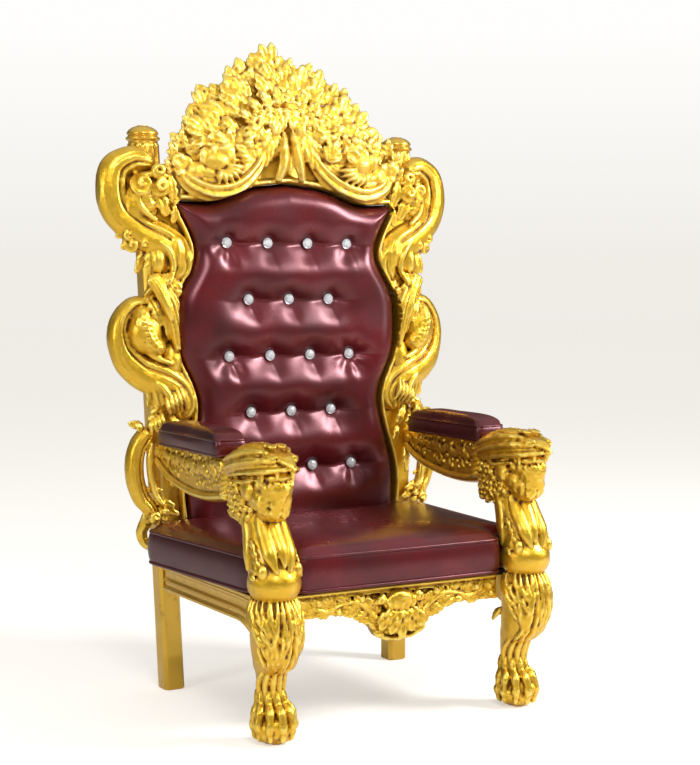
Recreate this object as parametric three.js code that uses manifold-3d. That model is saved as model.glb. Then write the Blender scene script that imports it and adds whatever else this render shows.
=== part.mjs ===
// A carved and gilded throne: two raked back posts with reeded finials, C-scroll side carvings, a
// foliate crest, a tufted back with crystal buttons, a deep seat on moulded rails, padded arms, and
// two front legs that rise from ball-and-claw feet into roaring lion heads.
// Millimetres. +X is the sitter's left seen from the front, +Y runs to the back, +Z is up.
import * as THREE from "three";
import { mergeVertices } from "three/addons/utils/BufferGeometryUtils.js";
import Module from "manifold-3d";

const wasm = await Module();
wasm.setup();

// ---------- driving dimensions ----------
const TOTAL_HEIGHT = 1800; // floor to the tip of the crest
const RAKE = 0.0423; // backward lean of everything in the back, per unit of height
const SPLAY = 0.0303; // outward lean of the back posts, per unit of height
const GAP = 0.5; // clearance between pieces that touch
const FINENESS = 0.12; // edges shorter than this close up when bodies are joined or cut
const DEPTH_SHIFT = 11.7; // brings the middle of the whole depth to Y = 0

const POST = { x: 359, y: 314, side: 60, chamfer: 9, height: 1415 };
const FINIAL = { radius: 43, reeds: 10, top: 1546 };

const BACK = { front: 232, back: 283.5, bottom: 398, corner: [344, 1337], crown: 1390 };
const CREST = { lean: 46, thinning: 24, drift: -16 };
const FRAME = { clearance: 7, plateFront: 262, plateBack: 283.6, inner: 252, outer: 292 };
const BUTTON = { radius: 13, height: 9, rows: 5, pitch: 157, top: 1228, spread: 127 };
const WELL = { mouth: 42, foot: 14, depth: 24 };

const SEAT = { half: [405, 452], front: -331, rear: 283, bottom: 361, edge: 456, crown: 487 };
const NOTCH = { leg: [304, -257], back: [331, 245] }; // where the seat makes room for legs and back
const RAIL = { outer: 396, top: 356, bottom: 282, thickness: 36, front: -256, frontFace: -297 };
const APRON = { half: 304.5, endDrop: 288, middleDrop: 210, thickness: 34 };

const LEG = { x: 361, y: -316 };
const HEAD = { x: 374, rear: -160 };
const ARM = { x: 397, thickness: 46, top: 686, rear: 288 };
const PAD = { x: 392, width: 93, bottom: 686.5, top: 756, front: -147, rear: 226 };

const gold = (name, roughness) =>
  new THREE.MeshStandardMaterial({ name, color: 0xd9a520, roughness, metalness: 1 });
const GILT = gold("gilt", 0.28);
const GILT_SATIN = gold("gilt_satin", 0.42);
const LEATHER = new THREE.MeshStandardMaterial({ name: "leather", color: 0x54202a, roughness: 0.35 });
const LINING = new THREE.MeshStandardMaterial({ name: "lining", color: 0x1a1718, roughness: 0.9 });
const CRYSTAL = new THREE.MeshStandardMaterial({ name: "crystal", color: 0xdfe6ee, roughness: 0.05 });

const throne = new THREE.Group();
throne.name = "throne";
throne.position.y = DEPTH_SHIFT;

// ---------- tools ----------
const vec = (p) => new THREE.Vector3(...p);
const OUTWARD = [0, -1, 0];

// A body that can be joined and cut, from a closed geometry.
function body(geometry) {
  const loose = geometry.index ? geometry.toNonIndexed() : geometry.clone();
  const bare = new THREE.BufferGeometry().setAttribute("position", loose.getAttribute("position"));
  const merged = mergeVertices(bare, 1e-3);
  return new wasm.Manifold(
    new wasm.Mesh({
      numProp: 3,
      vertProperties: merged.attributes.position.array,
      triVerts: new Uint32Array(merged.index.array),
      tolerance: FINENESS,
    }),
  );
}

const joined = (bodies) => bodies.reduce((sum, next) => sum.add(next));
const cut = (whole, tools) => tools.reduce((rest, tool) => rest.subtract(tool), whole);
// The main body of a cut, without the slivers a cut can leave.
const largest = (shape) => shape.decompose().sort((a, b) => b.volume() - a.volume())[0];

// Adds a body to the throne as a named mesh. A mirrored one is its twin on the other side.
function place(name, shape, material, mirrored = false) {
  const made = shape.getMesh();
  const geometry = new THREE.BufferGeometry();
  geometry.setAttribute("position", new THREE.BufferAttribute(made.vertProperties, 3));
  geometry.setIndex(new THREE.BufferAttribute(made.triVerts, 1));
  geometry.computeVertexNormals();
  const mesh = new THREE.Mesh(geometry, material);
  mesh.name = name;
  if (mirrored) mesh.scale.x = -1;
  throne.add(mesh);
}

function placePair(name, shape, material) {
  place(`${name}_right`, shape, material);
  place(`${name}_left`, shape, material, true);
}

// Moves each vertex of a geometry to where the function puts it.
function bent(geometry, move) {
  const position = geometry.getAttribute("position");
  const p = new THREE.Vector3();
  for (let i = 0; i < position.count; i++) {
    p.fromBufferAttribute(position, i);
    move(p);
    position.setXYZ(i, p.x, p.y, p.z);
  }
  return geometry;
}

const raked = (geometry) => bent(geometry, (p) => { p.y += RAKE * p.z; });

// The value at share t of a list of evenly spaced stations, eased between them.
function station(list, t) {
  const at = THREE.MathUtils.clamp(t, 0, 1) * (list.length - 1);
  const i = Math.min(Math.floor(at), list.length - 2);
  const ease = THREE.MathUtils.smoothstep(at - i, 0, 1) * 0.5 + (at - i) * 0.5;
  return list[i].map((value, k) => THREE.MathUtils.lerp(value, list[i + 1][k], ease));
}

// A bar bent along a smooth route. sizes lists [half width across the route, half depth towards
// `facing`], evenly spaced along it. flutes cuts that many grooves of a share of the radius.
function swept(route, sizes, { sides = 8, steps = 8, facing = OUTWARD, flutes = 0, groove = 0.08 } = {}) {
  const curve = new THREE.CatmullRomCurve3(route.map(vec), false, "centripetal");
  return bent(new THREE.CylinderGeometry(1, 1, 1, sides, steps), (p) => {
    const t = 0.5 - p.y;
    const [half, deep] = station(sizes, t);
    const along = curve.getTangent(t);
    const out = vec(facing).addScaledVector(along, -along.dot(vec(facing))).normalize();
    const across = out.clone().cross(along);
    const flute = 1 - groove * (flutes ? Math.cos(flutes * Math.atan2(p.z, p.x)) : 0);
    const middle = curve.getPoint(t);
    middle.addScaledVector(across, p.x * half * flute).addScaledVector(out, p.z * deep * flute);
    p.copy(middle);
  });
}

function ellipsoid(centre, radii, sides = 8, rings = 4) {
  return new THREE.SphereGeometry(1, sides, rings).scale(...radii).translate(...centre);
}

// A pointed leaf from its root to its tip, bowed outwards by `bow`.
function leaf(root, tip, half, { thick = 7, bow = 10, facing = OUTWARD, steps = 2 } = {}) {
  const middle = vec(root).lerp(vec(tip), 0.55).addScaledVector(vec(facing), bow);
  const sizes = [[0.5, 0.8], [1, 1], [0.12, 0.3]].map(([w, d]) => [w * half, d * thick]);
  return swept([root, middle.toArray(), tip], sizes, { sides: 4, steps, facing });
}

// An outline drawn in X and Z, standing between two depths, with its edges rounded off.
function standing(shape, front, back, { round = 0, curveSegments = 6 } = {}) {
  const depth = back - front - 2 * round;
  return new THREE.ExtrudeGeometry(shape, {
    depth, curveSegments, bevelEnabled: round > 0, bevelSize: round, bevelThickness: round,
    bevelOffset: -round, bevelSegments: 1,
  }).translate(0, 0, round).rotateX(Math.PI / 2).translate(0, back, 0);
}

function box(low, high) {
  const size = vec(high).sub(vec(low));
  const middle = vec(high).add(vec(low)).multiplyScalar(0.5);
  return new THREE.BoxGeometry(...size.toArray()).translate(...middle.toArray());
}

const mirroredX = (points) => points.map(([x, z]) => [-x, z]).reverse();
const shapeOf = (points) => new THREE.Shape(points.map(([x, y]) => new THREE.Vector2(x, y)));

// Points of a smooth curve through the given ones.
function smooth(points, count) {
  const curve = new THREE.SplineCurve(points.map(([x, y]) => new THREE.Vector2(x, y)));
  return curve.getPoints(count).map((p) => [p.x, p.y]);
}

// ---------- the upholstered back ----------
// The right half of the back's outline: two waists and two bulges, a pointed shoulder, an arched top.
function backOutline(grow) {
  const [cornerX, cornerZ] = BACK.corner;
  const side = smooth([
    [316, BACK.bottom], [330, 560], [287, 802], [338, 930], [345, 1060], [286, 1198], [cornerX, cornerZ],
  ], 16).map(([x, z]) => [x + grow, z < BACK.bottom + 1 ? z - grow : z]);
  const top = smooth([[cornerX, cornerZ], [235, 1336], [130, 1372], [0, BACK.crown]], 7);
  const over = top.map(([x, z]) => [x * (1 + grow / cornerX), z + grow]);
  const half = [...side.slice(0, -1), ...over];
  return shapeOf([...half, ...mirroredX(half.slice(0, -1))]);
}

// The places of the crystal buttons, in staggered rows of four and three.
function buttonPlaces() {
  const { rows, pitch, top, spread } = BUTTON;
  return Array.from({ length: rows }, (_, row) => {
    const count = row % 2 ? 3 : 4;
    return Array.from({ length: count }, (_, i) => ({
      name: `button_${row + 1}_${i + 1}`,
      x: (i - (count - 1) / 2) * spread,
      z: top - row * pitch,
    }));
  }).flat();
}

// A turned form that stands on the raked front of the back, `sunk` behind it, and points out of it.
function turnedOnBack(profile, sides, { x, z }, sunk) {
  const turned = new THREE.LatheGeometry(profile.map((p) => new THREE.Vector2(...p)), sides);
  turned.rotateX(Math.PI - Math.atan(RAKE));
  return turned.translate(x, BACK.front + sunk + RAKE * z, z);
}

function upholsteredBack() {
  const padding = standing(backOutline(0), BACK.front, BACK.back, { round: 14 });
  const { mouth, foot, depth } = WELL;
  const well = [[0, 0], [foot, 0], [mouth, depth], [mouth * 1.4, depth + 12], [0, depth + 12]];
  const wells = buttonPlaces().map((at) => body(turnedOnBack(well, 6, at, depth)));
  place("back_cushion", cut(body(raked(padding)), wells), LEATHER);
  const outside = standing(backOutline(-3), BACK.back + GAP, BACK.back + 42, { round: 8 });
  place("back_panel", body(raked(outside)), LEATHER);
}

function buttons() {
  const { radius, height } = BUTTON;
  const profile = [[0, 0], [radius, 0], [0.8 * radius, height], [0, height]];
  for (const at of buttonPlaces()) {
    place(at.name, body(turnedOnBack(profile, 6, at, WELL.depth - GAP)), CRYSTAL);
  }
}

// ---------- posts ----------
function postTimber(grow = 0) {
  const half = POST.side / 2 + grow;
  const chamfer = POST.chamfer;
  const corners = [[half, chamfer - half], [half, half - chamfer]];
  const quarter = (turn) => corners.map(([x, y]) => {
    const p = new THREE.Vector2(x, y).rotateAround(new THREE.Vector2(), (turn * Math.PI) / 2);
    return [p.x, p.y];
  });
  const outline = [0, 1, 2, 3].flatMap(quarter);
  const timber = new THREE.ExtrudeGeometry(shapeOf(outline), { depth: POST.height, bevelEnabled: false });
  return bent(timber.translate(POST.x, POST.y, 0), (p) => {
    p.x += SPLAY * p.z;
    p.y += RAKE * p.z;
  });
}

function finial(grow = 0) {
  const { reeds } = FINIAL;
  const [radius, top] = [FINIAL.radius + grow, FINIAL.top + grow];
  const base = POST.height - 25 - grow;
  const profile = [
    [0, base], [0.8 * radius, base], [radius, base + 20], [radius, top - 42], [1.06 * radius, top - 38],
    [0.9 * radius, top - 31], [1.02 * radius, top - 24], [0.62 * radius, top - 6], [0, top],
  ];
  const turned = new THREE.LatheGeometry(profile.map((p) => new THREE.Vector2(...p)), reeds * 2);
  turned.rotateX(Math.PI / 2);
  const middle = (base + top) / 2;
  const [x, y] = [POST.x + SPLAY * middle, POST.y + RAKE * middle];
  const barrel = (z) => (z > base + 10 && z < top - 40 ? 0.06 : 0);
  return bent(turned, (p) => {
    const reed = 1 - barrel(p.z) * (0.5 - 0.5 * Math.cos(reeds * Math.atan2(p.y, p.x)));
    p.set(p.x * reed + x, p.y * reed + y, p.z);
  });
}

// ---------- side carvings ----------
// The three C-scrolls of the right side, as [x, z] along their middles, with half widths and depths.
const SCROLLS = [
  {
    line: [[398, 1434], [450, 1450], [496, 1424], [508, 1372], [490, 1308], [440, 1262], [378, 1232],
      [334, 1200], [326, 1160], [342, 1116]],
    sizes: [[30, 32], [37, 34], [42, 38], [42, 38], [38, 34], [32, 30], [29, 28]],
  },
  {
    line: [[420, 1070], [466, 1046], [488, 980], [476, 920], [436, 880], [378, 854], [334, 824],
      [322, 788], [342, 750]],
    sizes: [[29, 28], [35, 32], [39, 36], [37, 34], [33, 30], [27, 27], [27, 26]],
  },
  {
    line: [[424, 726], [458, 680], [469, 604], [453, 540], [424, 500], [420, 480]],
    sizes: [[27, 26], [25, 28], [24, 28], [27, 26], [34, 24]],
  },
];

// Leaves that spring from the scrolls, as root and tip [x, z] and a half width.
const SCROLL_LEAVES = [
  [[446, 1236], [484, 1196], 18], [[404, 1236], [400, 1110], 26], [[400, 1330], [458, 1396], 30],
  [[356, 1080], [330, 1008], 14], [[412, 1088], [438, 950], 32], [[408, 880], [396, 774], 26],
  [[376, 848], [366, 700], 15], [[424, 530], [366, 520], 18],
];

function sideCarving() {
  const { inner, outer, plateFront, plateBack, clearance } = FRAME;
  // The carving leans back as it passes the outside of the post.
  const at = ([x, z], out = 0) =>
    [x, THREE.MathUtils.mapLinear(THREE.MathUtils.clamp(x, 380, 500), 380, 500, inner, outer) - out, z];
  const ground = shapeOf([
    [280, BACK.bottom + 66], [400, BACK.bottom + 66], [408, 720], [424, 1100], [430, 1300], [398, 1440],
    [334, 1440], [334, 1300], [260, 1200], [280, 1000],
  ]);
  const plate = body(raked(standing(ground, plateFront, plateBack)));
  const scrolls = SCROLLS.map(({ line, sizes }) =>
    body(raked(swept(line.map((p) => at(p)), sizes, { sides: 7, steps: 9 }))));
  const leaves = SCROLL_LEAVES.map(([root, tip, half]) =>
    body(raked(leaf(at(root), at(tip, 6), half, { thick: 15 }))));
  const clear = [
    body(raked(standing(backOutline(clearance), 100, 400))), body(postTimber(GAP)), body(finial(GAP)),
    body(box([0, 0, BACK.corner[1]], [331.5, 500, 1600])),
    body(box([0, 0, 300], [500, 500, SEAT.edge + 7])),
  ];
  return largest(cut(joined([plate, ...scrolls, ...leaves]), clear));
}

// ---------- crest ----------
// The stepped skyline: leaf tips rising from the finials to the peak.
function crestOutline() {
  const ridge = smooth([[340, 1470], [288, 1578], [172, 1694], [58, 1768], [0, TOTAL_HEIGHT]], 18);
  const tips = 6;
  const half = ridge.map(([x, z], i) => {
    const lobe = Math.abs(Math.sin((i / (ridge.length - 1)) * Math.PI * tips));
    return [x + (lobe - 0.5) * 10 * Math.min(1, x / 40), z + (lobe - 1) * 13 * Math.min(1, x / 40)];
  });
  const right = [[331, 1310], [331, 1455], ...half];
  return shapeOf([...right, ...mirroredX(right.slice(0, -1))]);
}

// Bends the upper crest back, its rear face less than its front, and a little to one side.
const leant = (geometry) => bent(geometry, (p) => {
  const ease = THREE.MathUtils.smoothstep(p.z, 1440, 1790);
  const share = THREE.MathUtils.clamp((p.y - 262) / 60, 0, 1);
  p.y += ease * (CREST.lean - CREST.thinning * share);
  p.x += ease * CREST.drift;
});

function crest() {
  const slab = body(raked(leant(standing(crestOutline(), 262, 322, { round: 8 }))));
  const opening = body(raked(standing(backOutline(FRAME.clearance), 100, 400)));
  const dolphin = [
    [320, 242, 1434], [284, 236, 1394], [222, 232, 1374], [150, 236, 1396], [98, 244, 1452],
    [76, 254, 1518],
  ];
  const girth = [[26, 24], [36, 38], [38, 40], [32, 34], [24, 26], [10, 14]];
  const pieces = [slab];
  for (const side of [-1, 1]) {
    const flip = ([x, y, z]) => [x * side, y, z];
    pieces.push(body(raked(swept(dolphin.map(flip), girth, { steps: 7 }))));
    // Two ranks of leaves climb each slope, turning from sideways to upright.
    for (let rank = 0; rank < 2; rank++) {
      for (let i = 0; i < 4; i++) {
        const share = i / 3;
        const root = [(252 - 196 * share) * (1 - 0.35 * rank), 260, 1470 + 175 * share - 30 * rank];
        const lean = 1 - share;
        const tip = [root[0] + 62 * lean + 10, 260, root[2] + 66 + 26 * share];
        pieces.push(body(raked(leant(leaf(flip(root), flip(tip), 29, { thick: 18, bow: 18 })))));
      }
    }
  }
  const bowl = body(raked(ellipsoid([0, 240, 1532], [72, 38, 58], 10, 5)));
  const hollow = body(raked(ellipsoid([0, 198, 1522], [52, 36, 38], 8, 5)));
  const pendant = body(raked(leaf([0, 224, 1506], [0, 226, 1404], 26, { thick: 18, bow: 14 })));
  const plume = body(
    raked(leant(leaf([0, 246, 1600], [0, 262, 1790], 40, { thick: 26, bow: 22, steps: 4 }))));
  const whole = joined([...pieces, bowl]).subtract(hollow);
  return largest(cut(joined([whole, pendant, plume]), [opening]));
}

// ---------- seat ----------
// The seat's plan, wider at the rear, notched at the front for the legs and behind for the back.
function seatPlan(shrink) {
  const { half, front, rear } = SEAT;
  const { leg, back } = NOTCH;
  const right = [
    [leg[0] - shrink, front + shrink], [leg[0] - shrink, leg[1] + shrink],
    [half[0] - shrink, leg[1] + shrink], [half[1] - shrink, rear - shrink],
    [back[0] + shrink, rear - shrink], [back[0] + shrink, back[1] - shrink],
  ];
  return shapeOf([...right, ...mirroredX(right)]);
}

// A crowned cushion: the plan rises straight to its edge, then swells to the crown.
function seatCushion() {
  const { front, bottom, edge, crown } = SEAT;
  const { leg, back } = NOTCH;
  const slab = new THREE.ExtrudeGeometry(seatPlan(8), {
    depth: edge - bottom - 16, bevelSize: 8, bevelThickness: 8, bevelSegments: 2,
  }).translate(0, 0, bottom + 8);
  const dome = bent(new THREE.BoxGeometry(2, 2, 1, 8, 6, 1), (p) => {
    const swell = Math.sqrt(Math.max(0, (1 - p.x ** 4) * (1 - p.y ** 4)));
    const top = edge - 3 + (crown - edge) * swell;
    const y = THREE.MathUtils.mapLinear(p.y, -1, 1, front + 9, back[1] - 9);
    p.set(p.x * (leg[0] + 60), y, p.z > 0 ? top : edge - 12);
  });
  const notches = [-1, 1].map((side) => {
    const [low, high] = [side * leg[0], side * 500].sort((a, b) => a - b);
    return body(box([low, front - 10, bottom - 5], [high, leg[1], crown + 20]));
  });
  return cut(body(slab).add(body(dome)), notches);
}

// A rail between two points of its outer face, with three beads run along it.
function sideRail() {
  const { outer, top, bottom, thickness } = RAIL;
  const height = top - bottom;
  const shape = shapeOf([
    [0, 0], [0, 8], [-5, 12], [-5, 26], [-1, 30], [-5, 34], [-5, 50], [0, 56], [3, height - 8],
    [3, height], [-thickness, height], [-thickness, 0],
  ]);
  const [front, rear] = [RAIL.front, 296];
  const run = new THREE.ExtrudeGeometry(shape, { depth: rear - front, bevelEnabled: false });
  run.rotateX(Math.PI / 2).translate(outer, rear, bottom);
  return body(run).subtract(body(postTimber(GAP)));
}

function backRail() {
  const { top, bottom } = RAIL;
  return body(raked(box([-334, 296, bottom], [334, 326, top])));
}

// The front rail: a scalloped apron with paired leaf scrolls and a round boss over a leafy drop.
function apron() {
  const { half, endDrop, middleDrop, thickness } = APRON;
  const face = RAIL.frontFace;
  const lower = smooth(
    [[0, middleDrop], [48, 219], [92, 264], [150, 294], [215, endDrop + 6], [half, endDrop]], 12);
  const right = [...lower, [half, RAIL.top]];
  const panel = standing(shapeOf([...right, ...mirroredX(right.slice(1))]), face, face + thickness);
  const pieces = [body(panel), body(box([-half, face - 7, RAIL.top - 14], [half, face + 5, RAIL.top]))];
  for (const side of [-1, 1]) {
    const at = (x, out, z) => [side * x, face - out, z];
    const stem = [at(52, 3, 250), at(96, 5, 300), at(150, 5, 326), at(215, 4, 318), at(262, 2, 324)];
    const girth = [[6, 10], [11, 12], [11, 12], [9, 10], [4, 6]];
    pieces.push(body(swept(stem, girth, { sides: 4, steps: 5 })));
    for (let i = 0; i < 4; i++) {
      const x = 72 + 52 * i;
      const up = i % 2 ? 1 : -1;
      const z = 290 + 30 * Math.min(1, i / 2) - 6 * i;
      pieces.push(body(leaf(at(x, 0, z), at(x + 40, 2, z + up * 16 + 4), 12, { thick: 9, bow: 6 })));
    }
  }
  pieces.push(body(ellipsoid([0, face - 4, 318], [34, 26, 27], 8, 6)));
  for (const turn of [-1, 0, 1]) {
    const tip = [turn * 44, face - 4, 232 + 14 * Math.abs(turn)];
    pieces.push(body(leaf([turn * 18, face - 4, 292], tip, 17, { thick: 10 })));
  }
  return largest(joined(pieces));
}

// ---------- front legs with lion heads ----------
// Four knuckled toes that grip a ball.
function clawFoot() {
  const { x, y } = LEG;
  const pieces = [body(ellipsoid([x, y, 46], [47, 50, 60], 10, 5))];
  const toes = 4;
  for (let i = 0; i < toes; i++) {
    const angle = THREE.MathUtils.degToRad(-208 + (i * 236) / (toes - 1));
    const [dx, dy] = [Math.cos(angle), Math.sin(angle)];
    const at = (r, z) => [x + dx * r, y + dy * r, z];
    const toe = [at(20, 124), at(44, 94), at(52, 60), at(47, 26)];
    const girth = [[11, 11], [15, 13], [12, 11], [5, 5]];
    pieces.push(body(swept(toe, girth, { sides: 4, steps: 3, facing: [dx, dy, 0.01] })));
  }
  return joined(pieces);
}

function shank() {
  const { x } = LEG;
  return body(swept([[x, -306, 96], [x + 4, -290, 165], [x + 8, -288, 235], [x + 11, -310, 322]],
    [[36, 36], [37, 38], [48, 48], [58, 54]], { steps: 4 }));
}

// The thigh, with locks of hair that fall from the knee down and back to the hock.
function haunch() {
  const route = [[372, -322, 384], [373, -326, 338], [372, -328, 286], [370, -316, 226], [368, -300, 186]];
  const girth = [[60, 58], [66, 64], [64, 64], [52, 50], [26, 26]];
  const locks = [-100, -35, 30, 95].map((turn) => {
    const angle = THREE.MathUtils.degToRad(turn - 90);
    const [dx, dy] = [Math.cos(angle), Math.sin(angle)];
    const root = [371 + dx * 59, -327 + dy * 57, 320];
    const tip = [370 + dx * 44, -314 + dy * 42, 196];
    return body(leaf(root, tip, 30, { thick: 9, bow: 7, facing: [dx, dy, 0] }));
  });
  return joined([body(swept(route, girth, { sides: 10, steps: 5 })), ...locks]);
}

// The chest: a smooth cup from which fluted drapery rises, leaning back to the neck.
function chest() {
  const cup = swept([[372, -326, 366], [372, -327, 392], [373, -325, 430]],
    [[50, 50], [66, 65], [60, 58]], { sides: 12, steps: 3 });
  const drape = swept([[373, -325, 412], [374, -316, 462], [374, -288, 520], [374, -268, 575]],
    [[59, 57], [57, 55], [46, 46], [46, 46]], { sides: 16, steps: 3, flutes: 8, groove: 0.07 });
  return joined([body(cup), body(drape)]);
}

function lionHead() {
  const { x } = HEAD;
  const upward = { steps: 4, facing: [0, 0, 1] };
  const mane = ellipsoid([x, -236, 632], [66, 82, 98], 10, 6);
  const brow = swept([[x, -198, 708], [x, -280, 716], [x, -350, 706], [x, -408, 696], [x, -442, 686]],
    [[54, 24], [56, 28], [46, 25], [36, 18], [16, 8]], upward);
  const jaw = swept([[x, -258, 612], [x, -325, 610], [x, -384, 612]],
    [[52, 50], [46, 48], [32, 38]], { steps: 3, facing: [0, 0, 1] });
  const beard = leaf([x, -362, 630], [x, -352, 532], 36, { thick: 22, bow: 8 });
  const parts = [mane, brow, jaw, beard].map(body);
  for (const side of [-1, 1]) {
    const lock = { thick: 13, bow: 9, facing: [side, 0, 0] };
    for (let i = 0; i < 2; i++) {
      const z = 690 - 66 * i;
      parts.push(body(leaf([x + side * 54, -256 - 8 * i, z], [x + side * 58, -200, z - 64], 26, lock)));
    }
  }
  return joined(parts).subtract(body(box([0, HEAD.rear, 400], [600, 200, 900])));
}

function lionLeg() {
  const parts = [clawFoot(), shank(), haunch(), chest(), lionHead()];
  const rails = [
    box([200, RAIL.front - GAP, 200], [500, 0, RAIL.top + 4]),
    box([200, RAIL.frontFace - 8, 270], [APRON.half + GAP, 0, RAIL.top + 4]),
  ];
  const cushion = [
    box([0, -500, SEAT.bottom - 3], [NOTCH.leg[0] + GAP, 0, 500]),
    box([0, NOTCH.leg[1] - GAP, SEAT.bottom - 3], [500, 0, SEAT.edge + 8]),
  ];
  const floor = box([200, -600, -100], [600, 0, 0]);
  return largest(cut(joined(parts), [...rails, ...cushion, floor].map(body)));
}

// ---------- arms ----------
function armRail(carving) {
  const { x, thickness, top, rear } = ARM;
  const front = HEAD.rear + GAP;
  const under = smooth([[rear, 652], [215, 612], [105, 586], [-30, 577], [front, 592]], 9);
  const side = new THREE.ExtrudeGeometry(shapeOf([...under, [front, top], [rear, top]].reverse()), {
    depth: thickness, bevelEnabled: false,
  });
  // The side is drawn in Y and Z and extruded along X.
  bent(side, (p) => p.set(x - thickness / 2 + p.z, p.x, p.y));
  const roll = swept(under.filter((_, i) => i % 3 === 0).map(([y, z]) => [x, y, z]), [[14, 29], [14, 29]],
    { steps: 8, facing: [1, 0, 0] });
  const clips = [carving, body(postTimber(GAP)), body(box([0, -500, 400], [600, front, 900]))];
  return largest(cut(joined([body(side), body(roll)]), clips));
}

function armPad() {
  const { width, bottom, top, front, rear } = PAD;
  const half = width / 2 - 8;
  const height = top - bottom;
  const arch = smooth([[half, height - 22], [half * 0.7, height - 12], [0, height - 8]], 5);
  const right = [[half, 8], ...arch];
  const shape = shapeOf([...right, ...mirroredX(right.slice(0, -1))]);
  const pad = new THREE.ExtrudeGeometry(shape, {
    depth: rear - front - 16, bevelSize: 8, bevelThickness: 8, bevelSegments: 2,
  }).translate(0, 0, 8).rotateX(Math.PI / 2).translate(PAD.x, rear, bottom);
  return body(pad);
}

// ---------- the whole ----------
const carving = sideCarving();
const clearCarving = carving.add(body(box([300, 275, 560], [440, 284, 700])));
placePair("back_post", joined([body(postTimber()), body(finial())]), GILT_SATIN);
placePair("side_carving", carving, GILT);
place("crest", crest(), GILT);
upholsteredBack();
buttons();
place("seat_cushion", seatCushion(), LEATHER);
placePair("side_rail", sideRail(), GILT_SATIN);
place("back_rail", backRail(), GILT_SATIN);
place("apron", apron(), GILT);
place("seat_board", body(box([-358, -255, 341], [358, 270, 355.6])), LINING);
placePair("lion_leg", lionLeg(), GILT);
placePair("arm_rail", armRail(clearCarving), GILT);
placePair("arm_pad", armPad(), LEATHER);

export default throne;
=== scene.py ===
"""A carved and gilded throne: fine carving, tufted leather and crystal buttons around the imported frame.

Every size in the classes is in millimetres, in the maker's own frame: X to the right seen from the
front, Y to the back, Z up, with the feet at Y = -316 and +314. ``Surface.object`` turns them into
metres and moves them to the row frame.
"""

import logging
import math
from collections.abc import Callable, Iterable, Sequence
from dataclasses import dataclass, field
from enum import Enum

import bpy
import numpy as np
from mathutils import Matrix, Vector


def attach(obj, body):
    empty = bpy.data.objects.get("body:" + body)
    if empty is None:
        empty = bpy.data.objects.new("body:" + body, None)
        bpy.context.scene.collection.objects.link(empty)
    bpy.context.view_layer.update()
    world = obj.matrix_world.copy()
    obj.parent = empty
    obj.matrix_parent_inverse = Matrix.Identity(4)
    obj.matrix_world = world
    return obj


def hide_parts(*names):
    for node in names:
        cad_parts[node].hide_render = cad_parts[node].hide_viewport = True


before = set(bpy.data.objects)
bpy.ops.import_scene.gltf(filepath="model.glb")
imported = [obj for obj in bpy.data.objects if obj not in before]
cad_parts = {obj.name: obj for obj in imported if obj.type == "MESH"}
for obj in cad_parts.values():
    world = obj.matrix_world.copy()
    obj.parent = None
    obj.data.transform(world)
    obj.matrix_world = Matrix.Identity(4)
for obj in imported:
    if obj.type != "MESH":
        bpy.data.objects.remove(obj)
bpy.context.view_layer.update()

LOG = logging.getLogger("throne")
RAKE = 0.0423  # backward lean of the back, per unit of height
SPLAY = 0.0303  # outward lean of the back posts, per unit of height
SHIFT = (0.0, 11.7, 0.0)  # from the maker's frame to the row frame
FRONT = (0.0, -1.0, 0.0)
UP = (0.0, 0.0, 1.0)

Array = np.ndarray
Row = Sequence[float]
Points = Sequence[Row]
Relief = Callable[[Array, Array], Array]
Material = bpy.types.Material
Socket = bpy.types.NodeSocket


class Side(Enum):
    """The two mirrored sides of the throne, by the sign of X."""

    RIGHT = 1
    LEFT = -1

    @property
    def word(self) -> str:
        """The name used in the pieces' names."""
        return self.name.lower()


# ---- curves and surfaces


def spline(points: Points, count: int) -> Array:
    """A smooth curve through points: cubics whose slopes are the central differences there.

    Args:
        points: the points to pass through.
        count: how many points to return, evenly spaced along the chords.

    Returns:
        The points.
    """
    p = np.asarray(points, float)
    knots = np.concatenate([[0.0], np.cumsum(np.linalg.norm(np.diff(p, axis=0), axis=1))])
    slope = np.gradient(p, knots, axis=0)
    s = np.linspace(0, knots[-1], count)
    i = np.clip(np.searchsorted(knots, s, side="right") - 1, 0, len(p) - 2)
    gap = (knots[i + 1] - knots[i])[:, None]
    u = (s - knots[i])[:, None] / gap
    start = (2 * u**3 - 3 * u**2 + 1) * p[i] + (u**3 - 2 * u**2 + u) * gap * slope[i]
    return start + (3 * u**2 - 2 * u**3) * p[i + 1] + (u**3 - u**2) * gap * slope[i + 1]


def eased(values: Row, t: Array) -> Array:
    """Values spread evenly over 0 to 1, read at t with an eased step from each to the next."""
    v = np.asarray(values, float)
    at = np.clip(t, 0, 1) * (len(v) - 1)
    i = np.minimum(at.astype(int), len(v) - 2)
    u = at - i
    u = 0.5 * u + 0.5 * u * u * (3 - 2 * u)
    return v[i] * (1 - u) + v[i + 1] * u


def unit(vectors: Array) -> Array:
    """Each row at length one."""
    return vectors / np.maximum(np.linalg.norm(vectors, axis=-1, keepdims=True), 1e-9)


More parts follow.
